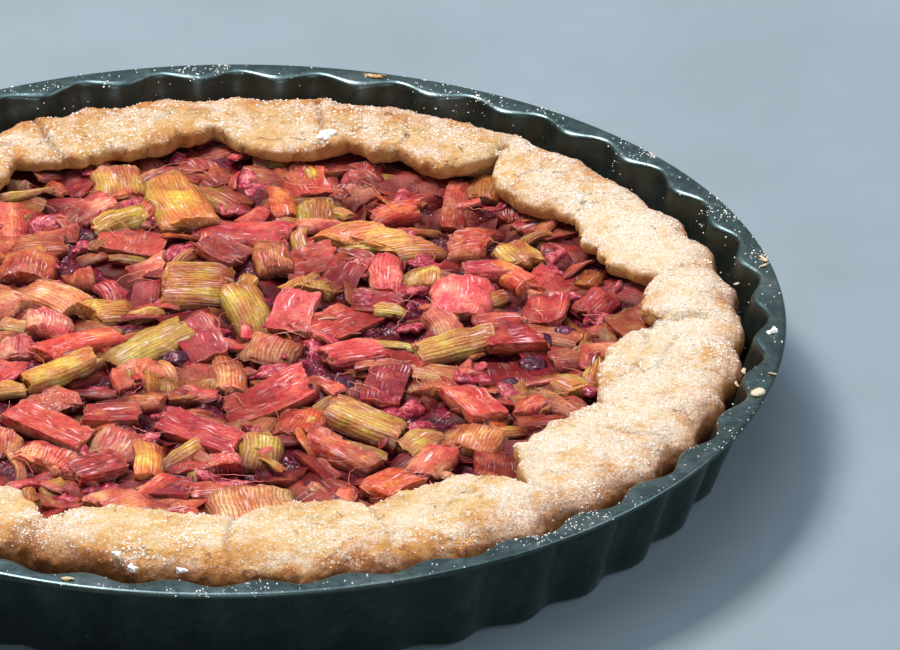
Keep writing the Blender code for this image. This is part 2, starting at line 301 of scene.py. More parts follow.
# %% Tin: extrude the sheet ring by ring
def tin_section():
    """(radius, height, share of the flutes' depth) for each ring, from the floor out to the rolled edge."""
    lean = (MOUTH_RADIUS - FOOT_RADIUS) / (TIN_TOP - SHEET)
    rings = [(FOOT_RADIUS - 1.2 * MM, SHEET, 0.75), (FOOT_RADIUS - 0.3 * MM, SHEET + 0.35 * MM, 0.8)]
    for share in np.linspace(0.04, 1.0, WALL_RINGS):
        height = SHEET + (TIN_TOP - SHEET - BEND_RADIUS) * share
        rings.append((FOOT_RADIUS + lean * (height - SHEET), height, 0.82 + 0.18 * share))
    bend_start = rings[-1][0]
    for turn in np.radians((18, 36, 54, 72, 90)):
        rings.append((bend_start + BEND_RADIUS * (1.0 - math.cos(turn)),
                      TIN_TOP - BEND_RADIUS + BEND_RADIUS * math.sin(turn), 1.0 - 0.12 * turn))
    rings.append((rings[-1][0] + FLUTES_FADE, TIN_TOP, 0.0))
    roll_start = FLANGE_RADIUS - ROLL_RADIUS
    rings.append((roll_start - 0.4 * MM, TIN_TOP, 0.0))
    for turn in np.radians((0, 40, 80, 120, 160)):
        rings.append((roll_start + ROLL_RADIUS * math.sin(turn),
                      TIN_TOP - ROLL_RADIUS * (1.0 - math.cos(turn)), 0.0))
    return rings


def press_flutes(tin, rings):
    """Push each ring's vertices in and out by its share of the flutes' depth."""
    same = 0.02 * MM
    places = corners_of(tin.data)
    radius = np.hypot(places[:, 0], places[:, 1])
    angle = np.arctan2(places[:, 1], places[:, 0])
    depth = np.zeros(len(places))
    for ring_radius, height, share in rings:
        here = (np.abs(radius - ring_radius) < same) & (np.abs(places[:, 2] - height) < same)
        depth[here] = share * FLUTE_DEPTH
    pushed = radius + depth * flute_wave(angle)
    places[:, 0] = pushed * np.cos(angle)
    places[:, 1] = pushed * np.sin(angle)
    put_corners(tin.data, places)


def make_tin():
    """The tin as one sheet with its thickness."""
    deselect()
    rings = tin_section()
    bpy.ops.mesh.primitive_circle_add(vertices=FLUTES * SEGMENTS_PER_FLUTE, radius=rings[0][0],
                                      fill_type="NGON", location=(0.0, 0.0, rings[0][1]))
    tin = settle(bpy.context.object, "fluted_tin")
    bpy.ops.object.mode_set(mode="EDIT")
    bpy.ops.mesh.select_all(action="SELECT")
    bpy.ops.mesh.select_mode(type="EDGE")
    bpy.ops.mesh.region_to_loop()
    for before, after in zip(rings, rings[1:]):
        grow = after[0] / before[0]
        bpy.ops.mesh.extrude_edges_move(TRANSFORM_OT_translate={"value": (0.0, 0.0, after[1] - before[1])})
        bpy.ops.transform.resize(value=(grow, grow, 1.0), center_override=(0.0, 0.0, after[1]))
    bpy.ops.object.mode_set(mode="OBJECT")
    press_flutes(tin, rings)

    only(tin)
    bpy.ops.object.mode_set(mode="EDIT")
    bpy.ops.mesh.select_all(action="SELECT")
    bpy.ops.mesh.normals_make_consistent(inside=False)
    bpy.ops.object.mode_set(mode="OBJECT")
    if tin.data.polygons[0].normal.z < 0.0:
        tin.data.flip_normals()
    wall = tin.modifiers.new("sheet thickness", "SOLIDIFY")
    wall.thickness = SHEET * 0.9
    wall.offset = -1.0
    bpy.ops.object.modifier_apply(modifier=wall.name)
    bpy.ops.object.shade_smooth_by_angle(angle=math.radians(50))
    return tin


fluted_tin = make_tin()
say(fluted_tin)

# %% [markdown]
# The tin's finish is a dark non-stick coat on steel. A coat like this is dark, but it mirrors the room
# softly, so it reads as a slate grey where it faces the light and nearly black in the flutes. So it is a
# metal with a dark colour and a middling roughness; its steep wall is painted darker and browner, as
# painted shade and baked-on fat. Fine sugar dust lies on it: white specks, more of them on the flat
# flange than on the steep wall. Real dust is too fine to show, so it is drawn 1 mm coarse.


# %% Tin: non-stick coat with dust
def coat_finish():
    """Dark non-stick coating with a fine orange peel, dusted."""
    made, shader, node = new_material("Non-stick coated steel, dusted")
    where = node("TexCoord", output="Object")
    upward = node("SeparateXYZ", {"Vector": node("NewGeometry", output="Normal")}, "Z")

    # The coat, in slate greys, with faint scuffs.
    shade = node("TexNoise", {"Vector": where, "Scale": per_mm(22.0), "Detail": 4.0, "Roughness": 0.55})
    coat = node("ValToRGB", {"Fac": shade}, stops=((0.25, "#50696a"), (0.55, "#5c7576"), (0.8, "#6a8485")))
    scuff = node("TexNoise", {"Vector": where, "Scale": per_mm(3.0), "Detail": 6.0, "Roughness": 0.7})
    grime = node("ValToRGB", {"Fac": scuff}, stops=((0.35, "#2f3a38"), (0.7, "#ffffff")))
    coat = node("Mix", {SHARE: 0.35, UNDER: coat, OVER: grime}, MIXED,
                data_type="RGBA", blend_type="MULTIPLY")

    # The wall is painted darker and browner than the flange: painted shade, and fat and sugar baked on.
    wall_shade_and_bake = node("MapRange", {"Value": upward, "From Min": 0.85, "From Max": 0.45, "To Max": 0.72})
    coat = node("Mix", {SHARE: wall_shade_and_bake, UNDER: coat, OVER: "#2a2c22"}, MIXED, data_type="RGBA")

    # Dust: a few cells of a fine pattern, in patches, over a thin film.
    facing = node("MapRange", {"Value": upward, "From Min": 0.1, "From Max": 0.9, "To Min": 0.35})
    cell = node("TexVoronoi", {"Vector": where, "Scale": per_mm(1.1)}, "Distance")
    speck = node("MapRange", {"Value": cell, "From Min": 0.30, "From Max": 0.12})
    picked = node("MapRange", {"Value": cell.node.outputs["Color"], "From Min": 0.45, "From Max": 0.5})
    patch = blotches(node, where, 9.0, 5.0, 0.7, (0.56, 0.74))
    for share in (patch, picked, facing):
        speck = node("Math", {0: speck, 1: share}, operation="MULTIPLY")
    film = blotches(node, where, 14.0, 6.0, 0.65, (0.5, 0.85), (0.0, 0.16))
    film = node("Math", {0: film, 1: facing}, operation="MULTIPLY")
    dust = node("Math", {0: speck, 1: film}, operation="MAXIMUM")

    colour = node("Mix", {SHARE: dust, UNDER: coat, OVER: "#eef1f2"}, MIXED, data_type="RGBA")
    metal = node("MapRange", {"Value": dust, "To Min": 0.75, "To Max": 0.0})
    worn = node("MapRange", {"Value": scuff, "From Min": 0.3, "From Max": 0.8,
                             "To Min": 0.24, "To Max": 0.40})
    dull = node("Math", {0: dust, 1: 0.8}, operation="MULTIPLY")
    rough = node("Math", {0: worn, 1: dull}, operation="MAXIMUM")
    peel = node("TexNoise", {"Vector": where, "Scale": per_mm(1.6), "Detail": 2.0, "Roughness": 0.55})
    relief = node("Bump", {"Height": peel, "Distance": 0.05 * MM, "Strength": 0.35})
    relief = node("Bump", {"Height": dust, "Distance": 0.25 * MM, "Strength": 0.6, "Normal": relief})
    feed(shader, Base_Color=colour, Metallic=metal, Roughness=rough, Normal=relief)
    return made


finish(fluted_tin, coat_finish())
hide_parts("tin")
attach(fluted_tin, "root")

# %% [markdown]
# ## The crust
# The pastry is one sheet of shortcrust: a flat base, a side that took the flutes' print, and a rim folded
# in over the fruit, pleat by pleat. A lathe would make it too even. So a flat grid is wrapped round the
# tart like a cloth: one side of the grid runs round the rim, the other follows the section, and each
# pleat moves the inner edge. The same list of pleats shaped the construction model.

# %% Crust: the pleats and the outline
crust_low, _ = (Vector(corner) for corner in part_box("crust"))
CRUST_BASE_Z = crust_low.z
BASE_TOP_Z = CRUST_BASE_Z + 4.0 * MM
CRUST_FOOT_RADIUS = 131.0 * MM
RIM_RADIUS = 135.4 * MM
# Slow waves of the rim's outline and of its crown: (how many in a turn, height in mm, phase in degrees).
RIM_WAVES = ((1, 2.1, -8), (2, 1.3, 36), (3, 0.5, 180), (5, 0.55, -20))
CROWN_WAVES = ((4, 0.35, 50), (7, 0.30, 10), (12, 0.25, 200))
CROWN_Z = 31.6 * MM
CROWN_WIDTH = 11.0 * MM
SHOULDER_Z = 24.3 * MM
LIP_BACK = 6.0 * MM
LIP_TOP_Z = 30.7 * MM
LIP_UNDER_Z = 25.3 * MM
LIP_SQUARENESS = 0.65
# Behind the lip the skin runs back under the fold and down the inside of the case.
FOLD_UNDER_RADIUS = 124.0 * MM
FOLD_UNDER_Z = 24.6 * MM
CASE_INNER_RADIUS = 126.5 * MM

# Pleats, anticlockwise: (start angle, radius of the notch there in mm, how far in the pleat reaches in mm).
PLEATS = np.array((
    (-113, 116, 103), (-88, 107, 100), (-69, 106, 102), (-48, 120, 101), (-24, 110, 102),
    (0, 116, 113), (13, 118, 108), (34, 113, 107), (53.5, 123, 107.5), (66, 111, 109.5),
    (73.5, 110, 102), (93, 115, 105.5), (122, 114, 104), (143, 111, 102), (163, 117, 105),
    (181, 108, 101), (205, 115, 106), (224, 110, 104)))


def swell(angle, terms):
    """Sum of slow cosine waves round the tart, in metres."""
    return MM * sum(height * np.cos(count * angle + math.radians(phase)) for count, height, phase in terms)


def inner_edge(angle):
    """Radius of the rim's inner edge: a notch where a pleat starts, a full curve between."""
    degrees = np.degrees(angle)
    edge = np.zeros_like(angle)
    for place, (start, notch, reach) in enumerate(PLEATS):
        next_start, next_notch = PLEATS[(place + 1) % len(PLEATS)][:2]
        width = (next_start - start) % 360.0
        along = (degrees - start) % 360.0
        here = along < width
        share = along[here] / width
        straight = notch + (next_notch - notch) * share
        edge[here] = straight - (straight - reach) * (1.0 - np.abs(2.0 * share - 1.0) ** 2.5)
    return edge * MM


def round_noise(angle, radius_mm, *terms):
    """Noise along a circle, closing on itself: the sum of (height in mm, size in mm, seed) terms."""
    ring = radius_mm * MM * np.column_stack([np.cos(angle), np.sin(angle), 0.0 * angle])
    return MM * sum(height * wobble(ring, size_mm, seed) for height, size_mm, seed in terms)


print("pleats:", len(PLEATS), "from", PLEATS[:, 2].min(), "to", PLEATS[:, 2].max(), "mm in from the middle")

# %% [markdown]
# The section is walked once, from the middle of the underside out and up, over the rim, round the lip
# and back to the middle of the base. Each stretch of it gets as many rows as its shape needs. Every row
# also says how brown it baked: the shoulder by the hot tin most, the sugared top least.

# %% Crust: the section, row by row
AROUND = 1200
ROWS = {"underside": 3, "side": 8, "shoulder": 17, "top": 27, "lip": 15, "behind": 4, "base": 4}


def crust_rows(angle):
    """(radius, height, bake) of each row at these angles."""
    edge = RIM_RADIUS + swell(angle, RIM_WAVES) + 1.1 * MM * flute_wave(angle)
    edge += round_noise(angle, 136.0, (0.5, 7.0, 1.0), (0.2, 2.5, 1.5))
    inner = inner_edge(angle) + round_noise(angle, 106.0, (1.3, 7.0, 2.0), (0.7, 2.8, 3.0), (0.3, 1.4, 3.5))
    crown = CROWN_Z + swell(angle, CROWN_WAVES)
    lip_z = LIP_TOP_Z + swell(angle, CROWN_WAVES) + round_noise(angle, 108.0, (0.4, 14.0, 4.0))
    lip_back = np.minimum(LIP_BACK, np.maximum(edge - CROWN_WIDTH - inner - 0.6 * MM, 1.5 * MM))
    foot = CRUST_FOOT_RADIUS + 1.0 * MM * flute_wave(angle)
    rows = []
    for share in np.linspace(0.0, 0.96, ROWS["underside"]):
        rows.append((foot * share, CRUST_BASE_Z, 0.5))
    for share in np.linspace(0.0, 0.93, ROWS["side"]):
        rows.append((foot + (edge - foot) * share, CRUST_BASE_Z + (SHOULDER_Z - CRUST_BASE_Z) * share, 0.9))
    for share in np.linspace(0.0, 1.0, ROWS["shoulder"]):
        turn = share * math.pi / 2.0
        rows.append((edge - CROWN_WIDTH * (1.0 - math.cos(turn)) ** 1.15,
                     SHOULDER_Z + (crown - SHOULDER_Z) * math.sin(turn) ** 0.9, 0.82 - 0.56 * share ** 1.1))
    outer = edge - CROWN_WIDTH
    for share in np.linspace(0.03, 0.97, ROWS["top"]):
        rows.append((outer + (inner + lip_back - outer) * share,
                     crown + (lip_z - crown) * step_up(share, 0.0, 1.0),
                     0.12 + 0.16 * max(0.0, 1.0 - 3.0 * share)))
    middle_z = (lip_z + LIP_UNDER_Z) / 2.0
    for share in np.linspace(0.0, 1.0, ROWS["lip"]):
        turn = share * math.radians(165.0)
        drop = math.copysign(abs(math.cos(turn)) ** LIP_SQUARENESS, math.cos(turn))
        back_off = 1.0 - max(0.0, math.sin(turn)) ** LIP_SQUARENESS
        rows.append((inner + (lip_back if turn < math.pi / 2.0 else 3.5 * MM) * back_off,
                     middle_z + (lip_z - middle_z) * drop, 0.2 + 0.2 * math.sin(turn)))
    under = np.maximum(FOLD_UNDER_RADIUS, inner + 4.4 * MM)
    for share in np.linspace(0.25, 1.0, ROWS["behind"]):
        rows.append((under + (CASE_INNER_RADIUS - under) * share,
                     FOLD_UNDER_Z + (BASE_TOP_Z - FOLD_UNDER_Z) * share, 0.3))
    for share in np.linspace(0.8, 0.0, ROWS["base"]):
        rows.append((CASE_INNER_RADIUS * share, BASE_TOP_Z, 0.3))
    return [(radius + 0.0 * angle, height + 0.0 * angle, bake) for radius, height, bake in rows]


print("crust:", sum(ROWS.values()), "rows of", AROUND, "vertices")

# %% [markdown]
# Shortcrust breaks and laps where it is folded. Each crack is a short line on the rim: the dough near it
# sinks, and on one side of a lap it stands higher. The lines are given as (angle, radius) pairs, the way
# they would be found on the tart with a protractor and a ruler.

# %% Crust: cracks and laps
# (depth, half width, height of the lap on its left side, points as (degrees, radius)); lengths in mm.
CRACKS = (
    (0.9, 0.8, 0.7, ((115.5, 133), (115.8, 124), (116.5, 116), (116, 108))),
    (1.3, 0.7, 0.6, ((80.0, 131), (79.2, 123), (78.0, 115), (77.0, 107))),
    (0.6, 0.8, 0.3, ((67.5, 124), (66.0, 117), (66.5, 110))),
    (0.8, 1.0, 0.5, ((54.5, 132), (54.0, 126), (53.5, 122))),
    (0.9, 0.9, 0.6, ((-29.0, 134), (-30.0, 127), (-31.0, 119))),
    (1.1, 0.6, 0.5, ((2.0, 119), (1.0, 115), (-4.0, 112.5), (-8.0, 113.5))),
    (1.0, 0.6, 0.4, ((-12.0, 113.5), (-15.0, 112), (-17.5, 109.5), (-20.5, 107))),
    (0.8, 0.6, 0.3, ((-4.0, 121.5), (-8.0, 119.5), (-13.0, 119.0))),
    (0.9, 0.6, 0.7, ((0.0, 120), (0.8, 124), (0.4, 129))),
    (0.7, 0.9, 0.4, ((14.0, 132), (13.4, 126), (13.0, 119))),
    (0.6, 0.9, 0.4, ((35.0, 133), (34.6, 126), (34.0, 115))),
    (0.7, 1.0, 0.5, ((-48.0, 132), (-48.3, 127), (-48.0, 121))),
    (0.5, 0.9, 0.4, ((-70.0, 131), (-69.0, 122), (-69.0, 108))),
    (0.6, 0.8, 0.5, ((-88.5, 132), (-89.0, 120), (-88.0, 108))),
    (0.8, 0.9, 0.5, ((-113.5, 133), (-114.0, 125), (-113.0, 117))),
    (1.0, 0.8, 0.6, ((-151.0, 133), (-151.5, 122), (-151.0, 108))),
    (0.9, 0.8, 0.6, ((165.0, 133), (164.0, 125), (163.2, 117))),
    (0.7, 0.9, 0.5, ((143.5, 132), (144.0, 122), (143.0, 112))),
    (0.8, 0.8, 0.5, ((-178.0, 132), (-178.8, 120), (-179.0, 109))),
    (0.7, 0.9, 0.4, ((-135.5, 132), (-135.0, 122), (-136.0, 111))),
    (0.5, 0.5, 0.2, ((98.0, 122), (100.5, 119), (103.0, 120))),
    (0.5, 0.5, 0.2, ((-60.0, 118), (-57.0, 114), (-55.0, 115))),
    (0.4, 0.5, 0.2, ((25.0, 121), (22.5, 117), (23.0, 113))),
)


def apply_cracks(flat, height):
    """Sink the dough along each crack and lift it on one side; returns the depth of crack at each point."""
    sunk = np.zeros(len(flat))
    for depth, half_width, lap, line in CRACKS:
        corners = [MM * np.array(on_circle(degrees, radius)) for degrees, radius in line]
        near = np.full(len(flat), 1.0)
        side = np.zeros(len(flat))
        for start, end in zip(corners, corners[1:]):
            run = end - start
            share = np.clip((flat - start) @ run / (run @ run), 0.0, 1.0)
            away = flat - (start + share[:, None] * run)
            distance = np.hypot(away[:, 0], away[:, 1])
            closer = distance < near
            cross = run[0] * away[:, 1] - run[1] * away[:, 0]
            side = np.where(closer, np.sign(cross), side)
            near = np.where(closer, distance, near)
        near = near / MM
        ragged = near + 0.35 * wobble(np.column_stack([flat, 0.0 * near]), 2.2, depth)
        groove = np.exp(-(np.maximum(ragged, 0.0) / half_width) ** 2)
        shelf = np.exp(-(near / 6.0) ** 2) * (side > 0)
        height += MM * (lap * shelf * step_up(near, 0.0, 0.9) - depth * groove)
        sunk = np.maximum(sunk, groove * min(1.0, depth))
    return sunk


print("cracks and laps:", len(CRACKS))

# %% [markdown]
# Now the grid is added, and each of its vertices goes to its row's place at its angle. Then the dough is
# made uneven: lumps of five sizes push its surface in and out, and the cracks sink into the top.

# %% Crust: wrap the grid
def wrapped_grid(name, around, rows):
    """A flat grid to wrap round the tart, with each vertex's angle, column and row."""
    deselect()
    bpy.ops.mesh.primitive_grid_add(x_subdivisions=around, y_subdivisions=rows - 1, size=2.0)
    piece = settle(bpy.context.object, name)
    flat = corners_of(piece.data)
    angle = (flat[:, 0] + 1.0) * math.pi
    column = np.rint(angle / FULL_TURN * around).astype(int)
    row = np.rint((flat[:, 1] + 1.0) / 2.0 * (rows - 1)).astype(int)
    return piece, angle, column, row


def make_crust():
    """The pastry case as one closed, uneven skin."""
    crust, angle, column, row = wrapped_grid("shortcrust_case", AROUND, sum(ROWS.values()))
    rows = crust_rows(np.linspace(0.0, FULL_TURN, AROUND + 1) % FULL_TURN)
    radius = np.stack([entry[0] for entry in rows])[row, column]
    height = np.stack([entry[1] for entry in rows])[row, column]
    bake = np.array([entry[2] for entry in rows])[row]
    places = np.column_stack([radius * np.cos(angle), radius * np.sin(angle), height])

    # The rows where each stretch of the section starts; only the rim is free to lump.
    rim_start = ROWS["underside"] + ROWS["side"]
    top_start = rim_start + ROWS["shoulder"]
    lip_start = top_start + ROWS["top"]
    rim_end = lip_start + ROWS["lip"]
    free = step_up(row, rim_start - 6, rim_start + 3) * (1.0 - step_up(row, rim_end - 3, rim_end + 1))
    lump = sum(height_mm * wobble(places, size_mm, seed) for height_mm, size_mm, seed in
               ((0.60, 21.0, 1.0), (0.48, 9.0, 2.0), (0.30, 4.2, 3.0), (0.26, 2.0, 4.0), (0.15, 1.2, 5.0)))
    lean = np.where(row < top_start, np.clip((top_start - row) / ROWS["shoulder"], 0.0, 1.0), 0.0)
    lean = np.where(row > lip_start, -np.clip((row - lip_start) / ROWS["lip"] * 1.4, 0.0, 1.0), lean)
    away = np.column_stack([lean * np.cos(angle), lean * np.sin(angle),
                            np.sqrt(np.maximum(0.0, 1.0 - lean ** 2))])
    places += away * (MM * lump * free)[:, None]

    cracked = places[:, 2].copy()
    sunk = apply_cracks(places[:, :2], cracked)
    on_top = step_up(row, rim_start + 2, rim_start + 7) * (1.0 - step_up(row, rim_end - 9, rim_end - 4))
    places[:, 2] += (cracked - places[:, 2]) * on_top
    put_corners(crust.data, places)

    nose = step_up(row, lip_start + 2, lip_start + 9)
    put_values(crust.data, "bake", np.clip(bake + 0.10 * lump * free, 0.0, 1.0))
    put_values(crust.data, "juice", nose * np.clip(0.55 + 0.9 * wobble(places, 6.0, 5.0), 0.0, 1.0))
    put_values(crust.data, "crack", sunk * on_top)
    close_skin(crust, reach_mm=0.01)
    return crust


shortcrust_case = make_crust()
say(shortcrust_case)

# %% [markdown]
# Baked shortcrust is matte and crumbly: pale cream where it lay under sugar and flour, golden on the
# bumps, and light brown along the outer edge, where it touched the hot tin. The bake attribute drives
# that scale. Fine pits, crumbs and hairline cracks are bump, and the cracks are also painted darker, as
# painted shade. A little light goes in under the surface, so the material has a low subsurface share.
# Brown and red are kept low, because pastry soon looks orange. The grains of icing sugar are drawn about
# 1 mm wide, because real ones are too fine to show.


# %% Crust: baked shortcrust
def sugar_on_dough(node, where, upward, bake):
    """How much sugar lies at each place: a film and specks on what faces up, less where it browned."""
    film = node("TexNoise", {"Vector": where, "Scale": per_mm(9.0), "Detail": 6.0, "Roughness": 0.7})
    # More of it fell on the side towards +X.
    east = node("SeparateXYZ", {"Vector": where}, "X")
    more = node("MapRange", {"Value": east, "From Min": 40.0 * MM, "From Max": 110.0 * MM, "To Max": 0.12})
    film = node("Math", {0: film, 1: more}, operation="ADD")
    film = node("MapRange", {"Value": film, "From Min": 0.47, "From Max": 0.64, "To Max": 0.96})
    grainy = blotches(node, where, 0.6, 2.0, 0.5, (0.40, 0.60), (0.25, 1.0))
    film = node("Math", {0: film, 1: grainy}, operation="MULTIPLY")
    speck = None
    for pitch_mm, kept in ((1.25, 0.42), (0.7, 0.5)):
        cell = node("TexVoronoi", {"Vector": where, "Scale": per_mm(pitch_mm)}, "Distance")
        chance = node("SeparateXYZ", {"Vector": cell.node.outputs["Color"]}, "X")
        grain = node("MapRange", {"Value": cell, "From Min": 0.44, "From Max": 0.30})
        picked = node("MapRange", {"Value": chance, "From Min": kept, "From Max": kept + 0.1})
        grain = node("Math", {0: grain, 1: picked}, operation="MULTIPLY")
        speck = node("Math", {0: speck, 1: grain}, operation="MAXIMUM") if speck else grain
    patch = blotches(node, where, 15.0, 5.0, 0.65, (0.40, 0.56))
    speck = node("Math", {0: speck, 1: patch}, operation="MULTIPLY")
    sugar = node("Math", {0: film, 1: speck}, operation="MAXIMUM")
    flat_enough = node("MapRange", {"Value": upward, "From Min": 0.25, "From Max": 0.85})
    pale_enough = node("MapRange", {"Value": bake, "From Min": 0.35, "From Max": 0.8,
                                    "To Min": 1.0, "To Max": 0.25})
    for share in (flat_enough, pale_enough):
        sugar = node("Math", {0: sugar, 1: share}, operation="MULTIPLY")
    return sugar


def hairline_cracks(node, where):
    """1 on fine crooked lines: here and there, the borders between the cells of a warped pattern."""
    warp = node("TexNoise", {"Vector": where, "Scale": per_mm(6.0), "Detail": 4.0}, "Color")
    warp = node("VectorMath", {0: warp, 1: (0.5, 0.5, 0.5)}, operation="SUBTRACT")
    warp = node("VectorMath", {0: warp, "Scale": 7.0 * MM}, operation="SCALE")
    bent = node("VectorMath", {0: where, 1: warp}, operation="ADD")
    border = node("TexVoronoi", {"Vector": bent, "Scale": per_mm(14.0)}, "Distance",
                  feature="DISTANCE_TO_EDGE")
    line = node("MapRange", {"Value": border, "From Min": 0.025, "From Max": 0.006})
    patch = blotches(node, where, 8.0, 3.0, 0.55, (0.54, 0.62))
    return node("Math", {0: line, 1: patch}, operation="MULTIPLY")


def crust_finish():
    """Pale gold shortcrust with pits, toasted spots, juice stains and dust of icing sugar."""
    made, shader, node = new_material("Baked shortcrust, sugared", Roughness=0.78, Subsurface_Weight=0.12,
                                      Subsurface_Scale=0.0015, Subsurface_Radius=(1.0, 0.6, 0.35))
    where = node("TexCoord", output="Object")
    upward = node("SeparateXYZ", {"Vector": node("NewGeometry", output="Normal")}, "Z")
    bake, juice, crack = (node("Attribute", output="Fac", attribute_name=name)
                          for name in ("bake", "juice", "crack"))
    browned = bake
    for patch in (blotches(node, where, 13.0, 6.0, 0.62, (0.3, 0.7), (-0.2, 0.2)),
                  blotches(node, where, 2.6, 5.0, 0.7, (0.35, 0.75), (-0.12, 0.16))):
        browned = node("Math", {0: browned, 1: patch}, operation="ADD")
    dough = node("ValToRGB", {"Fac": browned}, stops=((0.0, "#edd39c"), (0.20, "#e5c180"), (0.42, "#d8a057"),
                                                      (0.66, "#b67332"), (0.93, "#70401a")))

    toasted = blotches(node, where, 5.5, 4.0, 0.6, (0.66, 0.8), (0.0, 0.45))
    stain = blotches(node, where, 4.0, 4.0, 0.55, (0.42, 0.62), (0.0, 0.5))
    stain = node("Math", {0: stain, 1: juice}, operation="MULTIPLY")
    # Cracks and hairlines are painted darker brown: painted shade in the cracks.
    crack_shade = node("Math", {0: crack, 1: 0.75}, operation="MULTIPLY")
    hairline = hairline_cracks(node, where)
    hairline_shade = node("Math", {0: hairline, 1: 0.8}, operation="MULTIPLY")
    mealy = blotches(node, where, 0.8, 4.0, 0.65, (0.36, 0.66), (0.0, 0.4))
    # The side towards +Y is drawn a shade darker and greyer.
    north = node("SeparateXYZ", {"Vector": where}, "Y")
    darker_to_north = node("MapRange", {"Value": north, "From Min": 60.0 * MM, "From Max": 118.0 * MM})
    for share, colour, how in ((toasted, "#b47b3f", "MIX"), (stain, "#c8735a", "MIX"),
                               (crack_shade, "#9a6436", "MIX"), (hairline_shade, "#97592c", "MIX"),
                               (mealy, "#dbb07a", "MULTIPLY"), (darker_to_north, "#ebddd2", "MULTIPLY")):
        dough = node("Mix", {SHARE: share, UNDER: dough, OVER: colour}, MIXED,
                     data_type="RGBA", blend_type=how)
    sugar = sugar_on_dough(node, where, upward, bake)
    colour = node("Mix", {SHARE: sugar, UNDER: dough, OVER: "#f7f2e6"}, MIXED, data_type="RGBA")

    pit = node("TexVoronoi", {"Vector": where, "Scale": per_mm(1.7)}, "Distance")
    pitted = node("MapRange", {"Value": pit, "From Min": 0.05, "From Max": 0.4})
    unbroken = node("Math", {0: 1.0, 1: hairline}, operation="SUBTRACT")
    crumb = node("TexNoise", {"Vector": where, "Scale": per_mm(1.3), "Detail": 6.0, "Roughness": 0.75})
    relief = None
    for height, depth_mm, strength in ((pitted, 0.35, 0.7), (unbroken, 0.6, 0.8), (sugar, 0.22, 0.8),
                                       (crumb, 1.3, 1.0)):
        relief = node("Bump", {"Height": height, "Distance": depth_mm * MM, "Strength": strength,
                               "Normal": relief})
    feed(shader, Base_Color=colour, Normal=relief)
    return made


finish(shortcrust_case, crust_finish())
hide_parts("crust")
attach(shortcrust_case, "root")

# %% [markdown]
# ## The jam
# The fruit's juice sets into a dark red jam that fills the heap from below and shows only between the
# pieces. It could be a flat disc, but set juice creeps up between the stalks. So it is a core, a little
# lower than the pieces' tops, wrapped from a grid as the crust is: a flat underside, a side, and a bumpy,
# glossy skin on top.

# %% Jam: a low core under the pieces
HEAP_RADIUS = 123.4 * MM
HEAP_FOOT_Z = BASE_TOP_Z + 0.3 * MM
HEAP_SIDE_Z = 15.0 * MM
JAM_LEVEL = 21.6 * MM
JAM_AROUND = 690
JAM_RINGS = 130


def jam_surface(x, y):
    """Height of the jam's skin, from slow swells and small ripples."""
    flat = np.column_stack([x, y, 0.0 * x])
    return JAM_LEVEL + MM * sum(height_mm * wobble(flat, size_mm, seed) for height_mm, size_mm, seed in
                                ((1.3, 12.0, 6.0), (0.8, 5.0, 7.0), (0.4, 2.4, 8.0), (0.15, 1.3, 9.0)))


def make_jam():
    """A closed core. Rows 0 and 1 of the grid are its underside, row 2 its side, the others its top."""
    jam, angle, _, row = wrapped_grid("rhubarb_jam", JAM_AROUND, JAM_RINGS + 4)
    radius = HEAP_RADIUS * np.clip((JAM_RINGS + 3 - row) / JAM_RINGS, 0.0, 1.0)
    radius[row == 0] = 0.0
    x, y = radius * np.cos(angle), radius * np.sin(angle)
    height = jam_surface(x, y)
    height[row == 2] = HEAP_SIDE_Z
    height[row <= 1] = HEAP_FOOT_Z
    put_corners(jam.data, np.column_stack([x, y, height]))
    close_skin(jam, reach_mm=0.005)
    return jam


rhubarb_jam = make_jam()
say(rhubarb_jam)

# %% [markdown]
# Where a piece has cooked apart, soft lumps of pulp stand out of the jam. A lump starts as a round ball of
# small triangles, and noise of three sizes draws it out of shape. The largest lumps have their own places,
# and the others lie by chance.

# %% Jam: lumps of pulp
def scatter_lumps(name, spots, fineness, seed, narrow=0.6, flat=0.45):
    """Soft lumps at (x, y, top height, length) in mm, joined into one piece; a fifth value aims a lump.

    narrow and flat are the least width and height of a lump, as shares of its length.
    """
    rng = random.Random(seed)
    deselect()
    bpy.ops.mesh.primitive_ico_sphere_add(subdivisions=fineness, radius=0.5)
    lump = settle(bpy.context.object, name)
    ball = corners_of(lump.data)
    bodies = []
    for x, y, top, length, *aim in spots:
        size = length * np.array((1.0, rng.uniform(narrow, 1.6 * narrow), rng.uniform(flat, 1.5 * flat)))
        heading = math.radians(aim[0]) if aim else rng.uniform(0.0, 6.28)
        turn = np.array(Euler((rng.uniform(-0.3, 0.3), rng.uniform(-0.3, 0.3), heading)).to_matrix())
        body = ball * size
        shift = rng.uniform(0.0, 40.0)
        rough = 0.40 * wobble(body * MM, 0.5 * length, shift)
        rough += 0.30 * wobble(body * MM, 0.25 * length, shift)
        rough += 0.55 / length * wobble(body * MM, 1.1, shift)
        body = body * (1.0 + rough)[:, None] @ turn.T
        body[:, 2] += top - body[:, 2].max()
        bodies.append((body + np.array((x, y, 0.0))) * MM)
    join_copies(lump, bodies)
    only(lump)
    bpy.ops.object.shade_smooth()
    return lump


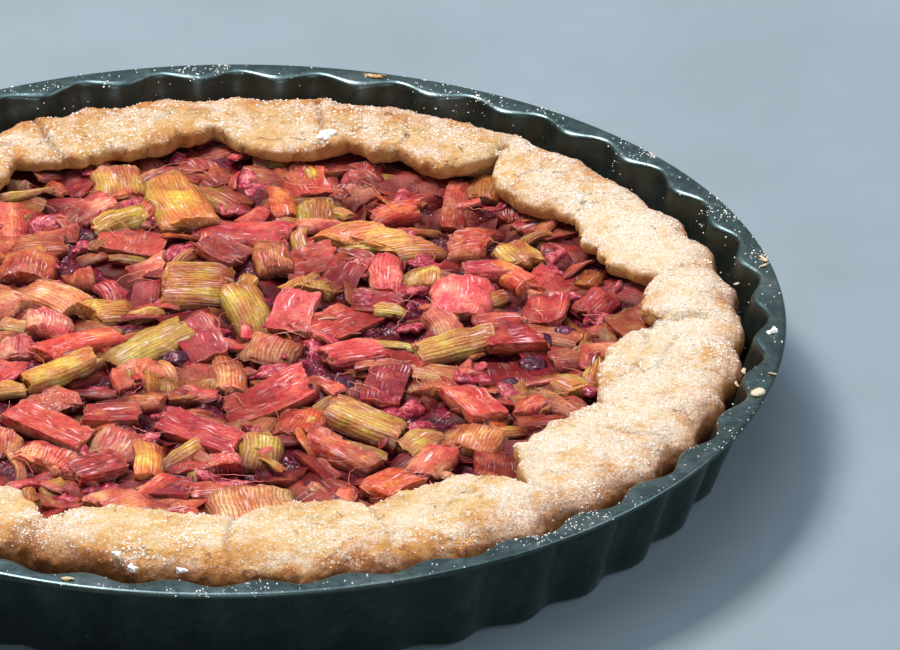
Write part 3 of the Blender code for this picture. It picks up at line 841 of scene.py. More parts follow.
# Lumps that stand out between the pieces: (x, y, top, length) in mm.
PULP = [(4, 92.5, 25.2, 11), (15.5, 55, 24.6, 11), (54, 47, 25.0, 12), (76, -28, 24.8, 10),
        (34, -92, 24.6, 9), (-32, 31, 24.6, 11), (-20, 20, 24.4, 9), (-15, 52, 24.6, 10),
        (87.5, 43, 24.6, 7), (69, -84, 24.6, 10), (-24, 72, 24.2, 8), (30, 60, 24.2, 8),
        (24, 0, 24.2, 8), (-34, -24, 24.2, 8), (50, 10, 24.2, 8), (-12, -40, 24.2, 8),
        (50, -78, 24.2, 8), (-50, 12, 24.2, 8), (-4, 8, 24.2, 7), (92, 28, 24.2, 8)]
PULP_COUNT = 110
PULP_REACH_MM = 112.0
pulp_rng = random.Random(41)
while len(PULP) < PULP_COUNT:
    x, y = chance_spot(pulp_rng, PULP_REACH_MM)
    PULP.append((x, y, pulp_rng.uniform(23.0, 25.6), pulp_rng.uniform(5.0, 13.0)))
fruit_pulp = scatter_lumps("fruit_pulp", PULP, fineness=4, seed=5, narrow=0.48, flat=0.24)
say(fruit_pulp)

# %% [markdown]
# Jam is a clear red gel: light goes in, turns red and comes out again nearby, and the skin is as smooth
# as glass. So it gets a subsurface share, a low roughness and a thin coat, which is thinner down in the
# dark. Pulp is the same jam with more fruit in it: paler, pinker and mottled more finely. Pale specks lie
# in both: painted glints on the wet surface, which also stand for sugar the juice has not quite dissolved.


# %% Jam: set juice
def jam_finish(name, deep, clear, pulp, weight, blotch_mm):
    """Glossy red jam between deep and pulp colours, in blotches of a given size."""
    made, shader, node = new_material(name, Roughness=0.35, IOR=1.25, Subsurface_Weight=weight,
                                      Subsurface_Scale=0.002, Subsurface_Radius=(1.0, 0.25, 0.15),
                                      Specular_IOR_Level=0.2, Coat_Weight=0.6, Coat_Roughness=0.04,
                                      Coat_IOR=1.35)
    where = node("TexCoord", output="Object")
    height = node("SeparateXYZ", {"Vector": where}, "Z")
    wet = node("MapRange", {"Value": height, "From Min": 22.0 * MM, "From Max": 24.6 * MM,
                            "To Min": 0.15, "To Max": 0.9})
    thick = node("TexNoise", {"Vector": where, "Scale": per_mm(blotch_mm), "Detail": 6.0,
                              "Roughness": 0.65, "Distortion": 0.6})
    fine = node("TexNoise", {"Vector": where, "Scale": per_mm(1.7), "Detail": 4.0, "Roughness": 0.6})
    ripple = node("TexNoise", {"Vector": where, "Scale": per_mm(0.8), "Detail": 3.0, "Roughness": 0.55})
    mottle = node("Mix", {"Factor": 0.25, "A": thick, "B": fine})
    jelly = node("ValToRGB", {"Fac": mottle}, stops=((0.34, deep), (0.5, clear), (0.66, pulp)))
    # Pale specks in patches: painted glints on the wet jam, standing also for sugar not yet dissolved.
    glint_and_sugar_patches = blotches(node, where, 4.0, 3.0, 0.6, (0.48, 0.60), (0.0, 0.6))
    speck = blotches(node, where, 0.6, 2.0, 0.5, (0.58, 0.66))
    speck = node("Math", {0: speck, 1: glint_and_sugar_patches}, operation="MULTIPLY")
    colour = node("Mix", {SHARE: speck, UNDER: jelly, OVER: "#f3cfdd"}, MIXED, data_type="RGBA")
    feed(shader, Base_Color=colour, Coat_Weight=wet)
    for socket, fine_mm, ripple_mm in (("Normal", 0.9, 0.3), ("Coat_Normal", 0.5, 0.2)):
        relief = node("Bump", {"Height": fine, "Distance": fine_mm * MM})
        relief = node("Bump", {"Height": ripple, "Distance": ripple_mm * MM, "Normal": relief})
        feed(shader, **{socket: relief})
    return made


finish(rhubarb_jam, jam_finish("Set rhubarb juice", deep="#1c0309", clear="#46071a", pulp="#90203c",
                               weight=0.12, blotch_mm=6.5))
finish(fruit_pulp, jam_finish("Cooked rhubarb pulp", deep="#4a0a1c", clear="#a02c44", pulp="#dc8078",
                              weight=0.22, blotch_mm=2.4))
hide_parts("rhubarb_filling")
for piece in (rhubarb_jam, fruit_pulp):
    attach(piece, "root")

# %% [markdown]
# ## The rhubarb
# A stalk of rhubarb has a rounded, ribbed back and a flat face with a shallow channel, so a cut length is
# a D in section. One plain length is modelled by hand as a pattern: a cylinder, cut across with bisect
# planes so that it can bend, its ends inset for the cut faces. Each piece in the tart is then a copy with
# its own mesh, moulded to its own size. A second pattern with fewer faces serves for what lies below and
# for slivers.

# %% Rhubarb: the patterns for a cut length
def cut_length(name, around, cuts, insets):
    """A unit cylinder along X, with rings cut round it and insets in its ends, ready to be moulded."""
    deselect()
    bpy.ops.mesh.primitive_cylinder_add(vertices=around, radius=1.0, depth=1.0,
                                        rotation=(0.0, math.pi / 2.0, 0.0))
    length = settle(bpy.context.object, name)
    bpy.ops.object.mode_set(mode="EDIT")
    bpy.ops.mesh.select_mode(type="FACE")
    for end in (-1.0, 1.0):
        shape = bmesh.from_edit_mesh(length.data)
        for face in shape.faces:
            face.select_set(face.normal.x * end > 0.9)
        bmesh.update_edit_mesh(length.data)
        for inset in insets:
            bpy.ops.mesh.inset(thickness=inset, depth=0.0)
        bpy.ops.mesh.poke()
    for cut in np.linspace(-0.5, 0.5, cuts + 2)[1:-1]:
        bpy.ops.mesh.select_all(action="SELECT")
        bpy.ops.mesh.bisect(plane_co=(cut, 0.0, 0.0), plane_no=(1.0, 0.0, 0.0))
    bpy.ops.object.mode_set(mode="OBJECT")
    return length


fine_length = cut_length("rhubarb_length", around=60, cuts=8, insets=(0.07, 0.28, 0.33))
plain_length = cut_length("plain_length", around=16, cuts=5, insets=(0.32,))
say(fine_length)
say(plain_length)

# %% [markdown]
# Moulding turns the round section into the D, raises ribs on the back, slants the ends as the knife
# slanted, bends the length, and lets cooking soften it all a little. Before it bends, each vertex's place
# on the stalk is kept as its rest place, so that the fibres in the material can follow the piece.

# %% Rhubarb: how a copy is moulded
RIB_PITCH = 1.1
RIM_SHARE = 0.97          # past this share of the section a vertex is on its outline
SECTION_STEPS = 721


def section_outline(turn, width, thick, channel):
    """The D at an angle round it, in mm: a full back above, a shallow channel below."""
    across = 0.5 * width * np.sign(np.cos(turn)) * np.abs(np.cos(turn)) ** 0.9
    rise = np.sin(turn)
    back = thick * np.maximum(rise, 0.0) ** 0.46
    face = channel * np.maximum(-rise, 0.0) ** 0.8
    return across, np.where(rise >= 0.0, back, face)


def ribbed_section(unit, width, thick, rib, seed):
    """Each vertex's place in the section, its run along the outline in mm, and whether it is on the back."""
    turn = np.arctan2(unit[:, 2], unit[:, 1]) % FULL_TURN
    share = np.hypot(unit[:, 1], unit[:, 2])
    channel = 0.5 + 0.4 * math.sin(3.7 * seed)
    across, up = section_outline(turn, width, thick, channel)
    table_turn = np.linspace(0.0, FULL_TURN, SECTION_STEPS)
    table_across, table_up = section_outline(table_turn, width, thick, channel)
    run = np.concatenate([[0.0], np.cumsum(np.hypot(np.diff(table_across), np.diff(table_up)))])
    arc = np.interp(turn, table_turn, run)
    on_back = np.sin(turn) > 0.0
    line = np.column_stack([arc, 0.0 * arc, 0.0 * arc]) * MM
    ribs = np.cos(FULL_TURN * arc / RIB_PITCH) * on_back * np.sin(turn).clip(0.0) ** 0.3
    ribs = ribs * (0.6 + 0.6 * wobble(line, 2.5, seed)) + 1.5 * on_back * wobble(line, 2.0, seed + 3.0)
    middle = 0.46 * thick
    size = np.maximum(np.hypot(across, up - middle), 0.1)
    grow = share + rib * ribs * (share > RIM_SHARE) / size
    return across * grow, middle + (up - middle) * grow, arc, on_back, middle


def mould(pattern, length, width, thick, slants, bend, side_bend, rib, seed):
    """Mould a unit length: returns places in mm, rest places in mm, and where it is cut or ribbed."""
    unit = corners_of(pattern.data)
    across, up, arc, on_back, middle = ribbed_section(unit, width, thick, rib, seed)
    share = np.hypot(unit[:, 1], unit[:, 2])
    end = np.sign(unit[:, 0])
    at_end = np.abs(unit[:, 0]) > 0.499
    rim = at_end & (share > RIM_SHARE)
    cut = at_end & ~rim
    rounding = 0.22 + 0.35 * abs(math.sin(seed * 2.3))
    along = np.where(rim, end * (length / 2.0 - rounding), unit[:, 0] * length)
    across = np.where(rim, across * (1.0 - 0.6 * rounding / width), across)
    up = np.where(rim, middle + (up - middle) * (1.0 - 1.2 * rounding / thick), up)
    dome = np.where(at_end, 0.35 * (1.0 - share ** 2) * math.sin(seed * 5.1), 0.0)
    slant = np.where(end > 0, slants[0], slants[1]) * (np.abs(unit[:, 0]) * 2.0)
    along = along + end * dome + slant * across + 0.25 * slant * up * end
    rest = np.column_stack([np.where(cut, across, arc), along, up])

    reach = 2.0 * along / length
    up = up - bend * reach ** 2
    across = across + side_bend * reach ** 2
    soft = (0.55 * wobble(rest * MM, 6.5, seed) + 0.38 * wobble(rest * MM, 3.0, seed + 0.5)
            + 0.16 * wobble(rest * MM, 1.4, seed + 0.7))
    inward = np.column_stack([0.0 * along, across, up - middle])
    inward /= np.maximum(np.linalg.norm(inward, axis=1), 0.5)[:, None]
    places = np.column_stack([along, across, up]) + inward * soft[:, None]
    ragged = 0.9 * wobble(rest * MM, 2.8, seed + 0.9) + 0.4 * wobble(rest * MM, 1.2, seed)
    places[:, 0] += ragged * at_end
    return places, rest, cut.astype(float), np.where(on_back & ~at_end, 1.0, 0.4)


# How a piece lies: its turn about its own length, and whether it stands on its end.
LIES = {"back": (0.0, 0.0), "face": (math.pi, 0.0), "side": (math.pi / 2.0, 0.0),
        "end": (0.0, math.pi / 2.0)}


def lay(places, lie, tilt, direction, x, y, top):
    """Turn a moulded piece to how it lies, and rest it with its highest point at top; all in mm."""
    roll, stand = LIES[lie]
    spin = Matrix.Rotation(stand, 3, "Y") @ Matrix.Rotation(roll, 3, "X")
    if lie == "end":
        spin = Matrix.Rotation(math.pi / 2.0, 3, "Z") @ spin
    spin = Matrix.Rotation(direction, 3, "Z") @ Euler((*tilt, 0.0)).to_matrix() @ spin
    laid = (places - (places.max(axis=0) + places.min(axis=0)) / 2.0) @ np.array(spin).T
    laid -= (laid.max(axis=0) + laid.min(axis=0)) / 2.0
    laid[:, 2] += top - laid[:, 2].max()
    return laid + np.array((x, y, 0.0))


print("a rib every", RIB_PITCH, "mm; ways to lie:", ", ".join(LIES))

# %% [markdown]
# Every piece has its own colour, as it does in a pan: some stayed yellow-green, some took up the red
# juice, some browned. A piece carries two colours, one for its body and one for its edges and ends,
# and they are worked into its vertices, so that pieces of one kind can be one joined mesh with one
# material and still differ.

# %% Rhubarb: colours
# look: (body, edges, kind of piece)
LOOKS = {
    "yellow": ("#ead26c", "#d58050", "green"), "olive": ("#ccb862", "#b0684c", "green"),
    "pale green": ("#ecdc8c", "#c99a54", "green"), "dark green": ("#7d7b40", "#84502f", "green"),
    "pink": ("#f0a39c", "#cc4860", "pink"), "salmon": ("#f4ab92", "#d25558", "pink"),
    "striped": ("#f6d3bc", "#d66a78", "pink"), "red": ("#dc6c64", "#a4243c", "red"),
    "brick": ("#c4705e", "#8a2a38", "red"), "brown": ("#cb8e70", "#9a3e44", "brown"),
    "orange": ("#ec9e62", "#c8523f", "brown"), "tan": ("#efc59a", "#c86a5c", "tan"),
    "pale": ("#f7e0ba", "#d88e6c", "tan"),
}
RIBBED_LOOKS = ("pale", "striped", "tan", "olive", "yellow", "pale green")
KINDS = ("green", "pink", "red", "brown", "tan")
CUT_FLESH = "#f07a66"
OVEN_TINT = (1.10, 1.05, 0.89)      # baking warms every colour a little


def piece_colours(look, rest, cut, ribbed, width, length, rng):
    """Colour of each vertex of a piece."""
    body, edge, _ = LOOKS[look]
    shade = np.array([rng.uniform(-0.045, 0.045) for _ in range(3)]) + rng.uniform(-0.05, 0.04)
    body, edge = 0.93 * srgb_steps(body) + shade, 0.9 * srgb_steps(edge) + shade
    seed = rng.uniform(0.0, 50.0)
    mottle = wobble(rest * MM, 6.0, seed) + 0.5 * wobble(rest * MM, 2.4, seed + 7.0)
    along = rest[:, 1] / length
    drift = rng.uniform(-0.9, 0.9)
    near_end = step_up(np.abs(along), 0.30, 0.5)
    near_side = step_up(np.abs(rest[:, 0]) / width, 0.36, 0.5)
    share = 0.08 + 0.7 * mottle + drift * along + 0.5 * near_end + 0.6 * near_side
    share = np.clip(share + np.where(ribbed > 0.5, 0.0, 0.3), 0.0, 1.0)[:, None]
    colours = body * (1.0 - share) + edge * share
    inside = np.clip(0.66 * body + 0.34 * srgb_steps(CUT_FLESH), 0.0, 1.0)
    colours = np.where(cut[:, None] > 0.5, 0.35 * colours + 0.62 * inside, colours)
    return to_linear(colours * OVEN_TINT)


class Heap:
    """Collects pieces of one kind and joins them into one mesh."""

    def __init__(self):
        self.faces = []
        self.count = 0
        self.layers = {"places": [], "rest": [], "flesh": [], "cut": [], "ribbed": []}

    def add(self, pattern, **values):
        """Take in one moulded copy of a pattern: its places and what its material reads."""
        self.faces += [[corner + self.count for corner in face.vertices] for face in pattern.data.polygons]
        for name, layer in self.layers.items():
            layer.append(values[name])
        self.count += len(values["places"])

    def join(self, name):
        """All that was added, as one smooth piece with its attributes."""
        places, rest, flesh, cut, ribbed = (np.concatenate(layer) for layer in self.layers.values())
        mesh = bpy.data.meshes.new(name)
        mesh.from_pydata((places * MM).tolist(), [], self.faces)
        put_values(mesh, "cut", cut)
        put_values(mesh, "ribbed", ribbed)
        layer = mesh.attributes.new("rest", "FLOAT_VECTOR", "POINT")
        layer.data.foreach_set("vector", (rest * MM).astype(np.float32).ravel())
        layer = mesh.attributes.new("flesh", "FLOAT_COLOR", "POINT")
        layer.data.foreach_set("color", flesh.astype(np.float32).ravel())
        joined = bpy.data.objects.new(name, mesh)
        bpy.context.scene.collection.objects.link(joined)
        only(joined)
        bpy.ops.object.shade_smooth_by_angle(angle=math.radians(48))
        return joined


print("looks:", len(LOOKS), "in", len(KINDS), "kinds")

# %% [markdown]
# The pieces that lie on top were placed one by one: where each lies, which way its stalk runs, how long
# and wide it is, which side is up and what colour it took. The left third of the tart is filled in the
# same manner by chance. So is the layer that shows dimly between and below, and thin slivers that broke
# off lie over all of it.

# %% Rhubarb: the pieces on top
# (x, y, direction of the stalk in degrees, length, width, side that is up, look); lengths in mm.
# For a piece on its end, length is how wide its section is and width how thick.
TOP_PIECES = (
    (-15.5, 81, 105, 29, 17, "back", "yellow"), (-41.5, 77.5, 30, 18, 16, "back", "pink"),
    (-8, 99, 125, 15, 14, "back", "brown"), (-32, 91, 100, 14, 14, "back", "olive"),
    (-43, 93, 60, 12, 10, "face", "red"), (-27, 58.5, 80, 15, 17, "face", "salmon"),
    (-41.5, 44, 95, 24, 9, "end", "salmon"), (-31.5, 69.5, 35, 14, 10, "back", "pale green"),
    (14, 82, 97, 18, 8, "side", "orange"), (23, 74.5, 90, 15, 12, "back", "olive"),
    (3, 64.5, -15, 24, 15, "back", "red"), (19.5, 93, 100, 16, 13, "face", "salmon"),
    (-9, 35, 15, 17, 23, "back", "olive"), (-24.5, 41, 20, 13, 13, "back", "tan"),
    (-53, 57, 10, 14, 12, "back", "tan"), (-55.5, 42, 85, 14, 15, "back", "brown"),
    (-48, 25, -45, 18, 14, "back", "pale"), (-58.5, 85, 90, 17, 8, "side", "dark green"),
    (21.5, 44.5, 30, 15, 13, "face", "salmon"), (22, 32, 90, 8, 11, "back", "pale green"),
    (11.5, 47, 95, 15, 10, "back", "brown"), (-60, 67, 92, 22, 9, "side", "salmon"),
    (37, 92.5, 92, 21, 13, "back", "brown"), (46, 82, 60, 13, 12, "face", "salmon"),
    (45, 73, 20, 12, 9, "back", "orange"), (41, 58, 28, 15, 26, "back", "yellow"),
    (61.5, 80, 85, 25, 10, "side", "salmon"), (66, 56, 0, 10, 18, "back", "brown"),
    (77, 67.5, 50, 15, 13, "back", "tan"), (92, 51, -3, 15, 11, "back", "brick"),
    (78.5, 48.5, -60, 10, 11, "back", "olive"), (76, 36.5, -55, 16, 7, "side", "orange"),
    (42.5, 38.5, 90, 18, 9, "back", "pink"), (52.5, 35, 90, 8, 12, "back", "pale green"),
    (31, 37.5, 70, 17, 10, "face", "red"), (62.5, 23.5, 85, 18, 17, "back", "pink"),
    (87, 35, 70, 13, 11, "face", "salmon"), (97, 38, 80, 12, 8, "back", "olive"),
    (29, 10.5, 45, 19, 13, "face", "salmon"), (58, 9, 110, 15, 9, "back", "tan"),
    (61, -3, 28, 21, 10, "back", "olive"), (77, -1, 5, 14, 10, "face", "brick"),
    (93, -8, 20, 14, 12, "back", "brown"), (91.5, -23, -50, 12, 10, "back", "yellow"),
    (55, -22, 95, 13, 13, "back", "tan"), (43, -23, 80, 22, 10, "face", "brick"),
    (70, -15, 20, 14, 11, "end", "salmon"), (66, -37, -60, 15, 11, "face", "salmon"),
    (91, -37, -40, 17, 9, "back", "brown"), (37.5, -42.5, -38, 23, 15, "back", "olive"),
    (83, -50, 100, 18, 15, "face", "pink"), (65.5, -54, 75, 12, 18, "back", "tan"),
    (52, -55, 50, 12, 10, "back", "olive"), (54.5, -67, 60, 12, 10, "back", "salmon"),
    (33, -61.5, -40, 21, 8, "side", "orange"), (27, -75, -62, 25, 11, "back", "brick"),
    (45, -80, 50, 15, 11, "face", "orange"), (72, -69, 90, 16, 12, "face", "brick"),
    (60, -84, 10, 13, 10, "back", "brown"), (5, 17, 105, 28, 12, "back", "yellow"),
    (-22, -1, 40, 24, 15, "back", "pale green"), (-41, -2, 30, 22, 10, "back", "orange"),
    (-45, -16.5, 40, 21, 9, "back", "yellow"), (-49, 8, 90, 10, 13, "back", "striped"),
    (-33, 18, 30, 14, 12, "back", "olive"), (-8, -1, 110, 18, 11, "face", "brown"),
    (-58, -4, 90, 10, 12, "back", "striped"), (-22.5, -19, 30, 16, 11, "end", "salmon"),
    (-10, -23, 90, 17, 11, "face", "tan"), (0.5, -17, 95, 19, 9, "back", "pale"),
    (11, -4.5, 75, 11, 17, "back", "tan"), (11.5, -31, 35, 25, 14, "face", "salmon"),
    (17.5, 14.5, 80, 18, 11, "face", "pink"), (18.5, -45, 70, 12, 15, "back", "orange"),
    (-25, -31, -15, 17, 9, "back", "brown"), (-46, -35, 20, 16, 11, "end", "brick"),
    (-47, -49, -35, 23, 11, "face", "salmon"), (-28.5, -55, 70, 13, 18, "back", "striped"),
    (-30, -42, 10, 14, 9, "face", "brown"), (-6, -51, -38, 24, 11, "face", "red"),
    (-43.5, -67.5, 75, 11, 26, "back", "striped"), (-20, -64.5, 95, 18, 8, "side", "yellow"),
    (-6, -67.5, 0, 21, 9, "end", "red"), (9.5, -60, 85, 14, 12, "back", "olive"),
    (9, -91, -80, 19, 24, "back", "pale"), (-27.5, -90, 45, 11, 18, "back", "tan"),
    (-45, -93, -10, 21, 10, "face", "brick"), (-18, -78, -20, 20, 11, "face", "brick"),
    (-12, -98, 20, 12, 9, "face", "red"), (-2, -81, 20, 14, 8, "back", "brown"),
    (-59.5, -57, 90, 10, 13, "back", "tan"), (-57, -72, 60, 13, 12, "face", "salmon"),
    (-62, 25, -50, 18, 13, "back", "tan"), (-74, -40, 20, 21, 12, "back", "olive"),
    (-86, 12, 75, 18, 13, "face", "pink"), (-82, 48, 35, 17, 11, "back", "red"),
    (-70, 66, -25, 16, 12, "back", "brown"), (-88, -18, -40, 16, 11, "back", "pink"),
    (-2, 52, -40, 13, 10, "face", "brick"), (70, 40, 20, 12, 9, "face", "pink"),
    (48, -8, -30, 15, 9, "face", "red"), (34, -8, 15, 14, 9, "back", "salmon"),
    (85, 18, 80, 14, 11, "face", "red"), (99, 22, 60, 12, 10, "back", "brick"),
    (73, 12, 10, 13, 9, "back", "brick"), (40, 22, -20, 13, 10, "face", "red"),
    (-33, -72, 30, 14, 10, "face", "brick"), (24, -92, 50, 14, 10, "face", "brick"),
    (38, -96, 20, 13, 10, "back", "brown"), (-62, -20, 60, 14, 10, "face", "red"),
)

# How far the ends of some pieces slant, in degrees: (x, y) of the row above -> slant.
SLANTS = {(-15.5, 81): 12, (-41.5, 77.5): 5, (-27, 58.5): -10, (-9, 35): 12, (3, 64.5): 8, (41, 58): -34,
          (78.5, 48.5): 0, (62.5, 23.5): -8, (29, 10.5): 15, (61, -3): 10, (37.5, -42.5): -20, (83, -50): 10,
          (65.5, -54): 8, (11.5, -31): -22, (5, 17): -15, (-22, -1): 10, (-6, -67.5): 20, (-43.5, -67.5): 15,
          (9, -91): 8}
print("pieces with a place of their own:", len(TOP_PIECES))

# %% [markdown]
# The other pieces are laid by chance, but from a fixed seed, so they lie the same way each time. On top,
# no piece may fall too near one that is there already; below, they may lie as they like.

# %% Rhubarb: the pieces laid by chance
LEFT_PART_MM = -64.0      # the pieces with a place of their own stop here
RIM_PART_MM = 84.0        # and outside this radius smaller ones fill up the gaps under the crust
TRIES = 6000
SHARES = (("pink", 3), ("salmon", 4), ("red", 3), ("brick", 3), ("brown", 3), ("orange", 2), ("tan", 3),
          ("pale", 1), ("olive", 3), ("yellow", 2), ("pale green", 1), ("striped", 1))
LOOK_DRAW = [look for look, share in SHARES for _ in range(share)]
LIE_DRAW = ("back", "back", "back", "face", "face", "side", "end")


def chance_pieces(rng, count, reach, apart=0.0, keep=lambda x, y: True):
    """Pieces laid by chance within reach, no two closer than apart, where keep(x, y) allows; all in mm."""
    laid = [(row[0], row[1]) for row in TOP_PIECES] if apart else []
    made = []
    for _ in range(TRIES):
        if len(made) == count:
            break
        x, y = chance_spot(rng, reach)
        if not keep(x, y) or any(math.hypot(x - u, y - v) < apart for u, v in laid):
            continue
        if apart:
            laid.append((x, y))
        lie = rng.choice(LIE_DRAW)
        made.append((x, y, rng.uniform(0.0, 180.0), rng.uniform(12.0, 21.0), rng.uniform(9.0, 15.0), lie,
                     rng.choice(LOOK_DRAW)))
    return made


place_rng = random.Random(23)
left_pieces = chance_pieces(place_rng, count=60, reach=106.0, apart=12.0,
                            keep=lambda x, y: x < LEFT_PART_MM)
edge_pieces = chance_pieces(place_rng, count=70, reach=113.0, apart=11.0,
                            keep=lambda x, y: math.hypot(x, y) > RIM_PART_MM)
under_pieces = chance_pieces(place_rng, count=340, reach=114.0)
slivers = [(*row[:3], place_rng.uniform(8.0, 17.0), place_rng.uniform(2.4, 6.0), "back", row[6])
           for row in chance_pieces(place_rng, count=300, reach=112.0)]
print("by chance:", len(left_pieces), "on the left,", len(edge_pieces), "along the rim,",
      len(under_pieces), "below and", len(slivers), "slivers")

# %% [markdown]
# Each row of the lists now becomes a piece: it is moulded to its size, laid as its row says, coloured,
# and added to the heap of its kind. Pieces on top reach 24 to 28 mm above the table, lower near the rim,
# where they go in under the crust.

# %% Rhubarb: mould and lay every piece
FULLER = 1.06             # pieces are laid a little larger than their rows say, so that neighbours touch
STUB_MM = 9.0             # how tall a piece is that stands on its end
SLIVER_MM = 6.5           # a piece narrower than this is a sliver: thin and limp


def piece_sizes(lie, length, width, rng):
    """How wide and thick a piece's section is and how long it runs, in mm."""
    if lie == "end":
        return length, min(width, 0.75 * length), STUB_MM
    if lie == "side":
        return rng.uniform(9.0, 11.0), min(width, 8.5), length
    if width < SLIVER_MM:
        return width, 0.34 * width, length
    return width, min(7.0, max(4.6, 0.43 * width)), length


def add_piece(heaps, pattern, row, top, tilt, rng):
    """Mould one piece from its row and add it to the heap of its kind."""
    x, y, direction, length, width, lie, look = row
    length, width = FULLER * length, FULLER * width
    section, thick, run = piece_sizes(lie, length, width, rng)
    strength = rng.uniform(0.45, 1.0) if look in RIBBED_LOOKS else rng.uniform(0.15, 0.65)
    middle_slant = SLANTS.get((x, y), rng.uniform(-18.0, 18.0))
    slants = [math.tan(math.radians(middle_slant + rng.uniform(-7.0, 7.0))) for _ in range(2)]
    seed = rng.uniform(0.0, 90.0)
    limp = 2.0 if width < SLIVER_MM else 1.0
    bend = rng.uniform(-0.3, 0.9) * (limp if lie != "end" else 0.2)
    side_bend = limp * rng.uniform(-1.0, 1.0)
    places, rest, cut, ribbed = mould(pattern, run, section, thick, slants, bend, side_bend,
                                      0.11 * strength, seed)
    laid = lay(places, lie, tilt, math.radians(direction), x, y, top)
    flesh = piece_colours(look, rest, cut, ribbed, section, run, rng)
    # Each piece reads its fibres and stains from its own part of the pattern.
    rest = rest + np.array((0.0, 60.0 * seed, 37.0 * seed))
    heaps[LOOKS[look][2]].add(pattern, places=laid, rest=rest, flesh=flesh, cut=cut,
                              ribbed=ribbed * strength)


def top_height(x, y, rng):
    """How high a piece on top reaches: lower near the rim, where it goes in under the crust."""
    near_rim = float(step_up(math.hypot(x, y), 92.0, 104.0))
    return 26.6 - 1.6 * near_rim + rng.uniform(-0.9, 1.3) * (1.0 - 0.5 * near_rim)


# (rows, pattern, span of the tops' heights in mm or None for top_height, spread of the two tilts)
LAYERS = (
    ((*TOP_PIECES, *left_pieces), fine_length, None, (0.14, 0.13)),
    (edge_pieces, fine_length, (24.2, 25.4), (0.14, 0.14)),
    (under_pieces, plain_length, (22.2, 24.9), (0.22, 0.22)),
    (slivers, plain_length, (23.8, 26.0), (0.30, 0.22)),
)
piece_rng = random.Random(7)
heaps = {kind: Heap() for kind in KINDS}
for rows, pattern, span, spreads in LAYERS:
    for row in rows:
        tilt = [piece_rng.gauss(0.0, spread) for spread in spreads]
        top = piece_rng.uniform(*span) if span else top_height(row[0], row[1], piece_rng)
        add_piece(heaps, pattern, row, top, tilt, piece_rng)
rhubarb = {kind: heaps[kind].join("rhubarb_" + kind) for kind in KINDS}
for pattern in (fine_length, plain_length):
    bpy.data.objects.remove(pattern)
for piece in rhubarb.values():
    say(piece)

# %% [markdown]
# Cooked rhubarb is wet and fibrous. Fine fibres run along the stalk, darker lines lie between the ribs,
# and a cut end shows the fibres as paler dots. The syrup over it is a thin clear coat that catches the
# light in small sharp glints; pale specks in patches are painted glints as well, standing also for sugar
# that has not dissolved. The lower a piece lies, the darker red it is painted: painted shade down between
# the pieces, and juice that they took up. The pattern reads each piece's own rest places, kept from before
# it was bent and laid, so that the fibres follow the piece. Real fibres are under half a millimetre apart;
# they are drawn nearly 1 mm apart, so that they show.


# %% Rhubarb: baked flesh
# kind of piece: (lines between the ribs, where it browned, where it turned mealy, share that juice reddened)
STAINS = {
    "green": ("#7d6a35", "#d2b64a", "#b3a276", 0.18),
    "tan": ("#8c4a34", "#dd9a4c", "#b98a6c", 0.3),
}
OTHER_STAINS = ("#a8403a", "#d98a68", "#b9776c", 0.48)


def fibre_lines(node, rest):
    """0 between the ribs to 1 on top of them, swaying and split by fine fibres along the stalk."""
    stretched = node("Mapping", {"Vector": rest, "Scale": (1.0, 0.05, 1.0)})
    fibre = node("TexNoise", {"Vector": stretched, "Scale": per_mm(0.8), "Detail": 4.0, "Roughness": 0.65})
    sway = node("TexNoise", {"Vector": stretched, "Scale": per_mm(1.5), "Detail": 2.0, "Roughness": 0.5})
    sway = node("Math", {0: sway, 1: 0.5}, operation="SUBTRACT")
    across = node("SeparateXYZ", {"Vector": rest}, "X")
    turn = node("Math", {0: across, 1: FULL_TURN * per_mm(RIB_PITCH)}, operation="MULTIPLY")
    turn = node("Math", {0: sway, 1: 7.0, 2: turn}, operation="MULTIPLY_ADD")
    rib = node("MapRange", {"Value": node("Math", {0: turn}, operation="COSINE"), "From Min": -1.0})
    return node("Mix", {"Factor": 0.66, "A": rib, "B": fibre}), stretched


